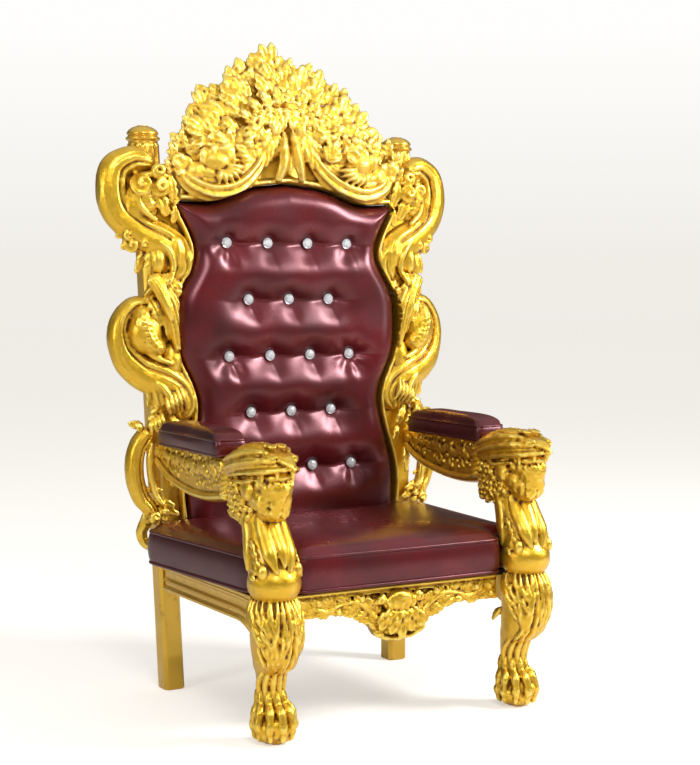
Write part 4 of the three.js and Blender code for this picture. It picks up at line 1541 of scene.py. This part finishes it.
    def neck_work(self) -> list[Surface]:
        """A smooth bulb, and folds that fall over it: narrow ones behind, broad slanting ones in front."""
        made = [self.core(self.neck), ball((372, -331, 398), (66, 67, 57), 30, 48)]
        for sign in (1, -1):
            for i in range(2):
                start = sign * (98 + 36 * i)
                places = [(566, start, 0), (510, start, 2)]
                places += [(462, start + 4 * sign, 3), (426, start + 9 * sign, 1)]
                made.append(self.strand(self.neck, places, [8, 15, 16, 6], [6, 8, 9, 4]))
            broad = [[(568, 36, 0), (520, 34, 5), (472, 27, 8), (424, 14, 3)]]
            if sign > 0:
                broad.append([(568, 0, 0), (520, 0, 5), (474, -3, 7), (440, -4, 4)])
            for places in broad:
                turned = [(z, sign * t, out) for z, t, out in places]
                made.append(self.strand(self.neck, turned, [13, 20, 20, 5], [9, 12, 14, 5], 1))
            for z, turn, fall, half in (
                (502, 68, -18, 9), (484, 64, -20, 10), (464, 60, -20, 10), (446, 66, -20, 11),
                (428, 76, -16, 10),
            ):
                root = self.skin(self.neck, z, sign * (turn + 10), 2)
                tip = self.skin(self.neck, z + fall, sign * (turn - 10), 6)
                made.append(leaf(root, tip, half, 5, 6, 3, (sign, -0.6, 0), lobes=2, around=14, along=14))
            made.append(ball(self.skin(self.neck, 432, sign * 50, 3), (13, 15, 19), 14, 18))
        return made

    def cap(self) -> list[Surface]:
        """The swept crown of the head, the snout, and three stepped ridges that run forward over it."""
        x = self.x
        crown = [(x, y, z) for y, z in ((-158, 684), (-218, 694), (-290, 694), (-352, 688), (-428, 682))]
        snout = [(x, -330, 706), (x, -368, 703), (x, -408, 694)]
        made = [
            ball((x, -240, 648), (53, 80, 78), 24, 36),
            sweep(crown, [44, 54, 52, 42, 8], [24, 32, 28, 19, 4], UP, 56, 70, girth=flutes(13, 0.07)),
            sweep(snout, [22, 24, 11], [10, 11, 7], UP, 28, 30, girth=flutes(5, 0.12)),
        ]
        first = np.array([(52, -176, 684), (56, -240, 702), (46, -305, 716), (26, -362, 716)])
        second = np.array([(56, -186, 664), (61, -262, 684), (53, -335, 697), (24, -400, 700)])
        third = np.array([(54, -206, 650), (56, -285, 664), (46, -355, 672), (10, -424, 683)])
        bold, fine = ([5, 9, 9, 5], [8, 11, 11, 6]), ([4, 5.5, 5, 3], [5, 7, 6, 3])
        for sign in (1, -1):
            for upper, lower in ((first, second), (second, third)):
                for share in (0.0, 0.34, 0.67):
                    line = (1 - share) * upper + share * lower + share * (1 - share) * np.array([0, 26, -22])
                    half, deep = fine if share else bold
                    path = self.off(sign, line + [1, 0, 0])
                    made.append(sweep(path, half, deep, (sign, -0.4, 0.5), 14, 44))
            path = self.off(sign, third)
            made.append(sweep(path, [5, 7, 8, 5], [9, 12, 12, 5], (sign, -0.5, 0.1), 18, 50))
            for ends, half, facing in (
                (((18, -318, 730), (12, -368, 726)), 15, UP),
                (((34, -344, 706), (24, -402, 706)), 14, (0.5 * sign, 0, 1)),
            ):
                made.append(leaf(*self.off(sign, ends), half, 4, 7, 4, facing, lobes=2))
            for i in range(5):
                across, drop = 8 + 9 * i, i * i
                lock = [(across + 4, -170, 704 - 1.2 * drop), (across, -240, 726 - 1.3 * drop)]
                lock += [(0.8 * across, -310, 724 - 1.5 * drop), (0.45 * across, -356 + 3 * i,
                    716 - 1.6 * drop)]
                made.append(sweep(self.off(sign, lock), [4, 6, 6, 3], [5, 7, 7, 4], (0.3 * sign, 0, 1), 12, 40))
        return made

    def jaws(self) -> list[Surface]:
        """The open mouth: a sunk palate, forked fangs, and a broad slab of a lower jaw, ragged below."""
        x = self.x
        palate = [(x, -290, 652), (x, -350, 655), (x, -390, 660)]
        lip = [(x, -346, 706), (x, -400, 702), (x, -438, 686)]
        jaw = (
            (548, x, -318, 27, 34), (556, x, -322, 32, 42), (580, x, -326, 37, 52), (612, x, -330, 41, 58),
            (634, x, -330, 44, 61), (642, x, -328, 43, 60), (647, x, -326, 38, 52),
        )
        made = [
            sweep(palate, [40, 38, 26], [22, 18, 12], UP, 24, 24),
            sweep(lip, [34, 24, 4], [13, 12, 4], UP, 24, 30),
            self.core(jaw),
        ]
        for step in range(-4, 5):
            turn = math.radians(21 * step)
            c, s = math.cos(turn), math.sin(turn)
            px, py = x + 41 * s, -330 - 58 * c
            made.append(ball((px, py + 4, 640 + 3 * (step % 2)), (9, 8, 8), 8, 12))
            if step % 2:
                root = (px * 0.9 + 0.1 * x, py + 9, 612)
                tip = (x + 33 * s, -322 - 45 * c, 550 + 4 * abs(step))
                made.append(leaf(root, tip, 19, 4, 8, 1, (s, -c, 0.02), lobes=2, around=14, along=16))
        fangs = (
            (((41, -352, 672), (42, -356, 656), (39, -350, 640)), [7, 6, 2], [6, 5, 2], (1, -0.5, 0)),
            (((40, -336, 670), (44, -344, 654), (42, -354, 645)), [5, 5, 2], [5, 5, 2], (1, -0.5, 0)),
            (((20, -392, 676), (21, -394, 662), (19, -390, 650)), [6, 5, 1.6], [6, 5, 1.6], FRONT),
        )
        cheek = ((52, -228, 652), (57, -262, 640), (50, -300, 646), (44, -336, 650))
        for sign in (1, -1):
            made.append(ball((x + sign * 46, -288, 620), (17, 26, 25), 16, 20))
            made.append(ball((x + sign * 38, -322, 600), (14, 30, 26), 16, 20))
            for fang, half, deep, (outward, forward, up) in fangs:
                facing = (sign * outward, forward, up)
                made.append(sweep(self.off(sign, fang), half, deep, facing, 12, 16))
            made.append(sweep(self.off(sign, cheek), [4, 6, 6, 3], [6, 8, 7, 4], (sign, 0, 0.1), 14, 36))
        return made

    def curls(self) -> list[Surface]:
        """Small spiral curls in ranks under the cheek, and a fan of petals where the arm joins."""
        x = self.x
        random = np.random.default_rng(self.seed + 1)
        made = []
        for sign in (1, -1):
            for rank, z in enumerate((634, 618, 602, 587, 572, 558, 547)):
                for i in range(8):
                    y = -168 - 18 * i - 9 * (rank % 2) + 2 * random.normal()
                    if y < -312 + 4 * rank or (rank < 4 and y < -258 - 9 * rank):
                        continue
                    bulge = math.sqrt(max(0.1, 1 - ((y + 240) / 96) ** 2)) * (1 - 0.03 * rank)
                    size = 10.5 + 1.2 * random.normal()
                    at = (x + sign * (55 * bulge + 1), y, z + 2 * random.normal())
                    facing = (sign, -0.15, -0.1 * rank)
                    made.append(curl(at, facing, size, size, random.uniform(0, 6)))
            for i in range(5):
                ends = ((44, -206 + 5 * i, 668 - 13 * i), (52, -164 + 3 * i, 652 - 15 * i))
                root, tip = self.off(sign, ends)
                made.append(leaf(root, tip, 9, 9, 8, 3, (sign, 0.2, 0), lobes=1, around=14, along=16))
        for i in range(-3, 4):
            for rank, z in enumerate((562, 549)):
                turn = math.radians(26 * i + 13 * rank)
                c, s = math.cos(turn), math.sin(turn)
                made.append(curl((x + 46 * s, -262 - 46 * c, z), (s, -c, -0.2), 10, 10, i))
        return made

    def trim(self, points: Array) -> Array:
        """Stands the foot on the floor and keeps off the rails, the apron, the cushion and the arm."""
        p = points.copy()
        p[:, 2] = np.maximum(p[:, 2], 0)
        p[:, 1] = np.clip(p[:, 1], self.nose, self.nape)
        low, high = self.rail_heights
        at_rail = (p[:, 2] > low) & (p[:, 2] < high) & (p[:, 0] < self.rail_side)
        p[at_rail, 1] = np.minimum(p[at_rail, 1], self.rail_front)
        low, high = self.seat_heights
        seat = (p[:, 2] > low) & (p[:, 2] < high)
        p[seat, 1] = np.minimum(p[seat, 1], self.seat_front)
        p[seat, 0] = np.maximum(p[seat, 0], self.seat_side)
        return p

    def roughness(self, points: Array) -> Array:
        """The casting is rough on the jaws and the foot, and nearly smooth on the neck and bulb."""
        z, y = points[:, 2], points[:, 1]
        jaw = np.clip((660 - z) / 12, 0, 1) * np.clip((z - 535) / 12, 0, 1) * np.clip((-270 - y) / 20, 0, 1)
        haunch = np.clip((z - 150) / 30, 0, 1) * np.clip((345 - z) / 12, 0, 1)
        foot = np.clip((80 - z) / 30, 0, 1)
        return 0.7 + 3.4 * jaw + 1.1 * haunch + 2.2 * foot + 1.2 * np.clip((z - 640) / 20, 0, 1)

    def build(self, finishes: Finishes) -> None:
        """Both legs."""
        parts = self.foot() + self.limb_work() + self.neck_work() + self.cap() + self.jaws() + self.curls()
        for side in Side:
            obj = carved(f"lion_{side.word}", parts, side, self.voxel, 1, self.trim, self.limit, self.roughness)
            dress(obj, "gilt", [finishes.gilt], f"lion_leg_{side.word}")


# ---- arms


@dataclass
class ArmRail:
    """The arm's carved rail: a stippled scroll-leaf panel over a smooth rolled edge."""

    x: float = 397.0
    half: float = 23.0
    top: float = 685.0
    front: float = -159.5
    seed: int = 11
    granules: int = 150

    def under(self, y: Array) -> Array:
        """The height of the rolled lower edge along the arm."""
        line = spline([(-160, 592), (-30, 577), (105, 586), (215, 612), (288, 652)], 80)
        return np.interp(y, line[:, 0], line[:, 1])

    def surface(self) -> Surface:
        """The panel, the roll, the scrolling leaves and the granules of both faces."""
        y = np.linspace(self.front, 283, 60)
        low = self.under(y)
        top = np.full_like(y, self.top)
        rows = np.stack([low, low, top, top], 1)
        across = self.x + (self.half - 3) * np.array([-1, 1, 1, -1])
        made = [tube(grid(across, y[:, None], rows))]
        roll = grid(self.x, y, low)
        made.append(sweep(roll, [15, 15], [28, 29], (1, 0, 0), 28, 90))
        random = np.random.default_rng(self.seed)
        for sign in (1, -1):
            out = (float(sign), 0.0, 0.0)
            face = self.x + sign * (self.half - 3)
            rows = (
                (-110, 640, 60, 26, 15), (-60, 634, 62, 28, 16), (0, 636, 62, 26, 15),
                (60, 640, 62, 24, 14), (118, 646, 60, 20, 13), (176, 654, 52, 16, 11),
                (-140, 660, 44, 14, 12), (-30, 662, 40, -30, 12), (40, 664, 40, -26, 12),
                (104, 668, 36, -20, 11),
            )
            for a, z, dy, dz, half in rows:
                root, tip = (face, a, z), (face, a + dy, z + dz)
                made.append(leaf(root, tip, half, 5, 5, 4, out, lobes=3, around=14, along=18))
            made.append(ball((face, 262, 664), (9, 15, 15)))
            gy = random.uniform(self.front + 6, 250, self.granules)
            low_z = self.under(gy) + 22
            gz = low_z + random.uniform(0, 1, self.granules) * np.maximum(self.top - 4 - low_z, 4)
            size = random.uniform(3.5, 6.0, self.granules)
            for a, b, r in zip(gy, gz, size):
                made.append(ball((face + sign, a, b), (r * 0.8, r, r), 6, 8))
            for yy in (-132, -90):
                for k in range(6):
                    turn = k * math.pi / 3
                    made.append(ball((face + sign * 5, yy + 10 * math.cos(turn), 664 + 10 * math.sin(turn)),
                        (4, 6, 6), 6, 10))
                made.append(ball((face + sign * 7, yy, 664), (5, 5, 5), 6, 10))
        return Surface.joined(made)

    def build(self, finishes: Finishes) -> None:
        """Both arm rails."""
        whole = self.surface()
        trim = lambda p: np.stack([p[:, 0], np.clip(p[:, 1], -159.6, 283.6 + RAKE * 600),
            np.minimum(p[:, 2], 686)], -1)
        for side in Side:
            obj = carved(f"arm_{side.word}", [whole], side, 2.6, 1, trim, 48000)
            dress(obj, "gilt", [finishes.gilt], f"arm_rail_{side.word}")


# ---- upholstery


@dataclass
class BackCushion:
    """The tufted back: soft puffs between buttons set in staggered rows."""

    front: float = 232.0
    rear: float = 283.5
    bottom: float = 398.0
    sunk: float = 20.0
    well: float = 32.5
    cup: float = 19.0
    pleat: float = 7.0
    channel: float = 27.0
    above: float = 74.0
    below: float = 84.0
    border: float = 50.0
    roll: float = 30.0
    puffed: float = 12.0
    seed: int = 5
    rows: int = 5
    pitch: float = 157.0
    top_row: float = 1228.0
    spread: float = 127.0

    def places(self) -> list[tuple[str, float, float]]:
        """Each button's name and place."""
        found = []
        for row in range(self.rows):
            count = 3 if row % 2 else 4
            for i in range(count):
                x = (i - (count - 1) / 2) * self.spread
                found.append((f"button_{row + 1}_{i + 1}", x, self.top_row - row * self.pitch))
        return found

    def tuft(self, x: Array, z: Array) -> Array:
        """How far the face is drawn in, between full puffs and the buttons.

        Between two rows the face is a power of the height, so that it meets each row in a crease,
        which fades past the end buttons. Each button adds a cusp, folds as a cosine of the angle
        round it and a flat well. Below it hangs a pleat, an exponential rise to either side.
        """
        spots = np.array([(px, pz) for _, px, pz in self.places()])
        depth = np.zeros_like(x)
        for pz in np.unique(spots[:, 1]):
            across = spots[spots[:, 1] == pz, 0]
            fade = 1 / (1 + np.exp((np.abs(x) - across.max() - 56) / 20))
            beat = np.cos(2 * math.pi * (x - across[0]) / self.spread)
            rise = z - pz + 5 * (1 - beat) * 0.5
            puff = np.where(rise > 0, np.clip(1 - rise / self.above, 0, 1) ** 2,
                np.clip(1 + rise / self.below, 0, 1) ** 1.8)
            depth = np.maximum(depth, (self.channel + 3 * beat) * fade * puff)
        for px, pz in spots:
            dx, dz = x - px, z - pz
            r = np.sqrt(dx * dx + 0.7 * dz * dz)
            angle = np.arctan2(dz, dx)
            count = 4 + (0.013 * px + 0.021 * pz) % 2
            folds = np.cos(count * angle + 0.05 * px + 0.03 * pz) * np.exp(-(((r - 42) / 20) ** 2))
            outer = 1.6 if abs(px) > self.spread else 0.5
            depth += 3 * np.exp(-(np.maximum(r - 14, 0) / 22)) + outer * folds * (1 - 0.6 * np.sin(angle))
            across = dx - 4 + 0.22 * dz
            pleat = np.exp(np.where(across < 0, across / 48, -across / 30))
            depth += self.pleat * pleat * np.exp(-(((dz + 34) / 30) ** 2))
        for px, pz in spots:
            well = np.exp(-((np.hypot(x - px, z - pz) / self.cup) ** 6))
            depth = depth * (1 - well) + self.well * well
        return depth

    def surface(self) -> Surface:
        """Front and rear sheets of one grid, sewn together round the edge.

        The grid fills the back's outline, and its front rolls back over its border to every edge
        as a quarter ellipse.
        """
        u = np.linspace(-1, 1, 145)[None, :]
        v = np.linspace(0, 1, 205)[:, None]
        top = OUTLINE.top_height(u * OUTLINE.reach)
        z = self.bottom + v * (top - self.bottom)
        wide = OUTLINE.half_width(np.minimum(z, OUTLINE.shoulder))
        x = u * wide
        inset = np.minimum(np.minimum(wide - np.abs(x), top - z) * 0.93, 60)
        roll = self.roll * (1 - np.sqrt(1 - np.clip(1 - inset / self.border, 0, 1) ** 2))
        random = np.random.default_rng(self.seed)
        sway = sum(
            np.sin(x * random.uniform(-0.03, 0.03) + z * random.uniform(-0.03, 0.03) + random.uniform(0, 6))
            for _ in range(8)
        )
        fill = 10 * (1 - np.clip(inset / 60, 0, 1)) ** 2
        y = self.front - self.puffed + roll + self.tuft(x, z) + fill + 0.6 * sway
        front = grid(x, np.minimum(y, self.rear - 2), z)
        return sewn(front, grid(x * 0.995, self.rear, z)).raked()

    def build(self, finishes: Finishes) -> None:
        """The cushion."""
        obj = self.surface().object("tufted_back")
        dress(obj, "leather", [finishes.hide], "back_cushion")


def sewn(front: Array, rear: Array) -> Surface:
    """Two sheets of one grid joined round their border into a closed form."""
    n, m, _ = front.shape
    index = np.arange(n * m).reshape(n, m)

    def sheet(offset: int) -> Array:
        """The quads of one sheet."""
        corners = (index[:-1, :-1], index[:-1, 1:], index[1:, 1:], index[1:, :-1])
        return np.stack(corners, -1).reshape(-1, 4) + offset

    rim = np.concatenate([index[0, :-1], index[:-1, -1], index[-1, :0:-1], index[:0:-1, 0]])
    band = np.stack([rim, np.roll(rim, -1), np.roll(rim, -1) + n * m, rim + n * m], -1)
    quads = np.concatenate([sheet(0), sheet(n * m)[:, ::-1], band[:, ::-1]])
    return Surface(np.concatenate([front.reshape(-1, 3), rear.reshape(-1, 3)]), quads).outward()


@dataclass
class OuterBack:
    """The upholstered outside of the back, crowned a little, with piping round its edge."""

    front: float = 284.0
    rear: float = 325.5
    foot: float = 401.0

    def surface(self) -> Surface:
        """A thin padded panel on the back's own outline."""
        u = np.linspace(-1, 1, 60)[None, :]
        v = np.linspace(0, 1, 90)[:, None]
        top = OUTLINE.top_height(u * OUTLINE.reach) + 6
        z = self.foot + v * (top - self.foot)
        wide = OUTLINE.half_width(np.minimum(z, OUTLINE.shoulder - 3)) + 6
        x = u * wide
        inset = np.minimum(np.minimum(wide - np.abs(x), np.minimum(top - z, z - self.foot)), 60)
        piping = 4 * np.exp(-(((inset - 9) / 3.2) ** 2)) - 5 * np.exp(-(((inset - 17) / 4) ** 2))
        roll = 12 * (1 - np.sqrt(1 - np.clip(1 - inset / 12, 0, 1) ** 2))
        crown = 6 * (1 - np.clip(inset / 60, 0, 1)) ** 2
        y = self.rear - 4 - roll - crown + piping
        return sewn(grid(x, self.front, z), grid(x, y, z)).raked()

    def build(self, finishes: Finishes) -> None:
        """The panel."""
        obj = self.surface().object("outer_back")
        # The outer back wears the darker copy of the leather that is made as painted shade for the cushions'
        # sides.
        dress(obj, "leather", [finishes.hide_painted_shade], "back_panel")


@dataclass
class CrystalButton:
    """A faceted crystal in a silver cup with a pale metal rim."""

    scale: float = 1.14
    facets: int = 9

    def surfaces(self) -> list[Surface]:
        """Rim, foil cup and gem, standing on the XY plane and pointing along +Z."""
        rim = [(4, 0), (12.4, 0), (13, 1.2), (13, 3.4), (12.4, 4.8), (11.6, 4.6), (11.2, 3.2), (11, 1.6),
            (4, 1.4)]
        foil = [(0.2, 0.8), (11, 0.8), (11.1, 3.2), (6, 2.4), (0.2, 1.6)]
        gem = [(0.2, 2.6), (7.5, 2.8), (11, 4.4), (11, 5.2), (8.0, 8.0), (4.6, 9.4), (0.2, 9.5)]
        cut = lambda t, a: 1 - 0.06 * (0.5 + 0.5 * np.cos(self.facets * a + 18 * t))
        return [
            revolved(rim, (0, 0, 0), 28),
            revolved(foil, (0, 0, 0), 20),
            revolved(gem, (0, 0, 0), 2 * self.facets, cut),
        ]

    def build(self, cushion: BackCushion, finishes: Finishes) -> None:
        """One button at each of the cushion's places, turned to its raked face."""
        parts = self.surfaces()
        whole = Surface.joined(parts)
        quads, caps = [len(p.quads) for p in parts], [len(p.caps) for p in parts]
        slots = np.concatenate([np.repeat([0, 1, 2], quads), np.repeat([0, 1, 2], caps)])
        c, s = math.cos(math.atan(RAKE)), math.sin(math.atan(RAKE))
        base = cushion.front + cushion.sunk - 0.5
        for name, x, z in cushion.places():
            px, py, pz = self.scale * whole.points.T
            out = np.stack([x + px, base + RAKE * z - pz * c + py * s, z + py * c + pz * s], -1)
            obj = Surface(out, whole.quads, whole.caps).outward().object("crystal_" + name, smooth=False)
            obj.data.polygons.foreach_set("material_index", slots.astype(np.int32))
            dress(obj, "crystal", [finishes.rim, finishes.foil, finishes.crystal], name)


@dataclass
class BoxCushion:
    """A cushion with boxed sides, piped seams and a crowned top, on any star-shaped plan."""

    plan: Points
    bottom: float
    edge: float
    crown: float
    bulge: float
    piping: float
    soften: int = 9
    dish: float = 0.0

    def outline(self, count: int) -> Array:
        """The plan's corners rounded: points along its sides, averaged with their neighbours."""
        corners = np.asarray(self.plan, float)
        ends = np.roll(corners, -1, axis=0)
        lengths = np.linalg.norm(ends - corners, axis=1)
        knots = np.concatenate([[0], np.cumsum(lengths)])
        s = np.linspace(0, knots[-1], count, endpoint=False)
        ring = np.stack([np.interp(s, knots, np.append(corners[:, k], corners[0, k])) for k in (0, 1)], -1)
        for _ in range(self.soften):
            ring = 0.25 * np.roll(ring, 1, 0) + 0.5 * ring + 0.25 * np.roll(ring, -1, 0)
        return ring

    def surface(self) -> Surface:
        """The skin, from the middle of the underside out, up the sides and in to the crown.

        Each ring is the outline drawn in by a station's inset; the top rings rise as a soft dome.
        """
        ring = self.outline(220)
        middle = (ring.max(0) + ring.min(0)) / 2
        reach = np.linalg.norm(ring - middle, axis=1)[:, None]
        height = self.edge - self.bottom
        u = np.linspace(0, 1, 16)
        side = np.stack([-self.bulge * np.sin(math.pi * u) ** 0.8 + 2, self.bottom + 5 + u * (height - 10)], -1)
        under = np.array([(60, self.bottom), (20, self.bottom), (8, self.bottom + 0.5), (3.5, self.bottom + 2)])
        top = np.array([(3.0, self.edge - 3), (5, self.edge - 1), (8.5, self.edge + 0.5)])
        rings = [grid(*(middle + (ring - middle) * 0.02).T, self.bottom)]
        for inset, z in np.concatenate([under, side, top]):
            rings.append(grid(*(middle + (ring - middle) * (1 - inset / reach)).T, z))
        inner = middle + (ring - middle) * (1 - top[-1, 0] / reach)
        for k in np.linspace(0.97, 0.02, 26):
            swell = np.sqrt(np.clip(1 - k**4, 0, 1)) - self.dish * (1 - k**2) ** 2
            z = self.edge + 0.5 + (self.crown - self.edge) * swell
            rings.append(grid(*(middle + (inner - middle) * k).T, z))
        return tube(np.array(rings))

    def welt(self, z: float, inset: float) -> Surface:
        """Piping: a round cord carried once round the outline."""
        ring = self.outline(200)
        middle = (ring.max(0) + ring.min(0)) / 2
        reach = np.linalg.norm(ring - middle, axis=1)[:, None]
        path = middle + (ring - middle) * (1 - inset / reach)
        normal = unit(path - middle)
        a = np.linspace(0, 2 * math.pi, 10, endpoint=False)
        flat = path[:, None] + normal[:, None] * (self.piping * np.cos(a))[None, :, None]
        height = z + self.piping * np.sin(a)[None, :] + 0 * flat[..., 0]
        return tube(np.concatenate([flat, height[..., None]], -1), closed=True)

    def piece(self, name: str, side: Side = Side.RIGHT) -> bpy.types.Object:
        """The cushion as an object; its boxed sides facing left and right take the second material, a darker
        copy of the leather painted as shade.
        """
        skin = self.surface().mirrored(side)
        seams = [self.welt(self.edge - 3, 2.5).mirrored(side), self.welt(self.bottom + 4, 1).mirrored(side)]
        obj = Surface.joined([skin, *seams]).object(name)
        facing = np.empty(3 * len(obj.data.polygons), np.float32)
        obj.data.polygons.foreach_get("normal", facing)
        # Faces turned left or right get the second, darker material: painted shade.
        sideways = np.abs(facing.reshape(-1, 3)[:, 0]) > 0.7
        obj.data.polygons.foreach_set("material_index", sideways.astype(np.int32))
        return obj


@dataclass
class Seat:
    """The deep seat cushion, notched round the lion legs and the back."""

    def plan(self) -> Points:
        """Corners of the plan, anticlockwise seen from above."""
        right = [(303.5, -329), (303.5, -258), (404, -258), (449, 281), (332, 281), (332, 246.5)]
        return right + [(-x, y) for x, y in right[::-1]]

    def build(self, finishes: Finishes) -> None:
        """The seat."""
        cushion = BoxCushion(self.plan(), 361.5, 452, 492, 7, 4.5, soften=6, dish=0.1)
        obj = cushion.piece("seat_pad")
        dress(obj, "leather", [finishes.hide, finishes.hide_painted_shade], "seat_cushion")


@dataclass
class ArmPads:
    """The padded tops of the arms."""

    x: float = 392.0
    half: float = 46.0
    front: float = -146.0
    rear: float = 225.0

    def build(self, finishes: Finishes) -> None:
        """Both pads."""
        x, h = self.x, self.half
        plan = [(x - h, self.front), (x + h, self.front), (x + h, self.rear), (x - h, self.rear)]
        cushion = BoxCushion(plan, 687, 731, 757, 4, 3, soften=22)
        for side in Side:
            obj = cushion.piece(f"arm_cushion_{side.word}", side)
            dress(obj, "leather", [finishes.hide, finishes.hide_painted_shade], f"arm_pad_{side.word}")


# ---- studio


@dataclass
class Studio:
    """The camera, a pale floor and soft lights."""

    azimuth: float = -29.9
    elevation: float = 3.78
    distance: float = 4.52
    target: tuple[float, float, float] = (0.030, 0.0117, 0.851)
    lens: float = 79.15
    dim: float = 0.75

    def camera(self) -> None:
        """The camera, on a sphere round the target."""
        az, el = math.radians(self.azimuth), math.radians(self.elevation)
        back = Vector((math.sin(az) * math.cos(el), -math.cos(az) * math.cos(el), math.sin(el)))
        data = bpy.data.cameras.new("camera")
        data.lens = self.lens
        data.clip_end = 60
        camera = linked("camera", data)
        camera.location = Vector(self.target) + back * self.distance
        camera.rotation_euler = back.to_track_quat("Z", "Y").to_euler()
        bpy.context.scene.camera = camera

    def floor(self) -> None:
        """A wide pale floor."""
        size = 30.0
        mesh = bpy.data.meshes.new("floor")
        corners = [(-size, -size, 0), (size, -size, 0), (size, size, 0), (-size, size, 0)]
        mesh.from_pydata(corners, [], [(0, 1, 2, 3)])
        obj = linked("floor", mesh)
        material, nodes, shader = started("floor")
        camera = nodes.add("ShaderNodeLightPath").outputs["Is Camera Ray"]
        nodes.set(
            shader,
            Base_Color=(0.8, 0.78, 0.75, 1.0),
            Roughness=0.7,
            Specular_IOR_Level=0.1,
            Emission_Color=(1.0, 0.965, 0.9, 1.0),
            Emission_Strength=nodes.remap(camera, 0, 1, 0.08, 0.5),
        )
        mesh.materials.append(material)

    def light(self, name: str, place: Row, size: float, power: float,
        aim: Row = (0, 0, 0.9)) -> None:
        """A square soft light aimed at the throne."""
        data = bpy.data.lights.new(name, "AREA")
        data.shape = "SQUARE"
        data.size = size
        data.energy = power
        lamp = linked(name, data)
        lamp.location = place
        direction = Vector(place) - Vector(aim)
        lamp.rotation_euler = direction.to_track_quat("Z", "Y").to_euler()

    def world(self) -> None:
        """A pale backdrop for the eye, and dimmer light on the throne, brightest from overhead."""
        world = bpy.data.worlds.new("studio")
        world.use_nodes = True
        nodes = Nodes(world.node_tree)
        sky = world.node_tree.nodes["Background"]
        way = nodes.add("ShaderNodeTexCoord").outputs["Generated"]
        height = nodes.add("ShaderNodeSeparateXYZ", Vector=way).outputs["Z"]
        seen = nodes.ramp(height, (0.0, (0.865, 0.84, 0.79)), (0.14, (1.0, 0.995, 0.98)))
        glow = nodes.ramp(height, (0.0, (0.10, 0.095, 0.085)), (0.4, (0.16, 0.16, 0.155)),
            (0.9, (1.0, 1.0, 1.0)))
        camera = nodes.add("ShaderNodeLightPath").outputs["Is Camera Ray"]
        nodes.feed(sky.inputs["Color"], nodes.mix(camera, glow, seen))
        nodes.feed(sky.inputs["Strength"], nodes.remap(camera, 0, 1, self.dim, 1.0))
        bpy.context.scene.world = world

    def build(self) -> None:
        """Everything round the throne."""
        self.camera()
        self.floor()
        self.world()
        self.light("key", (-1.3, -3.4, 3.5), 1.1, 58)
        self.light("gloss", (2.8, -2.1, 3.1), 1.1, 150, (0, 0.1, 1.0))
        self.light("fill", (3.2, -2.2, 1.9), 0.9, 20)
        self.light("side", (-3.6, -0.8, 1.9), 0.9, 30)
        scene = bpy.context.scene
        scene.view_settings.view_transform = "Standard"


# ---- the whole


def main() -> None:
    """Builds the studio and every piece, in order, and logs each piece's name."""
    logging.basicConfig(level=logging.INFO, format="%(message)s")
    Studio().build()
    finishes = Finishes()
    cushion = BackCushion()
    for part in (BackPost(), SideRail(), cushion, OuterBack(), Seat(), ArmPads(), ArmRail(), Apron(), LionLeg(),
        SideCarving(), Crest()):
        part.build(finishes)
        LOG.info("built %s", type(part).__name__)
    CrystalButton().build(cushion, finishes)


if __name__ == "__main__":
    main()
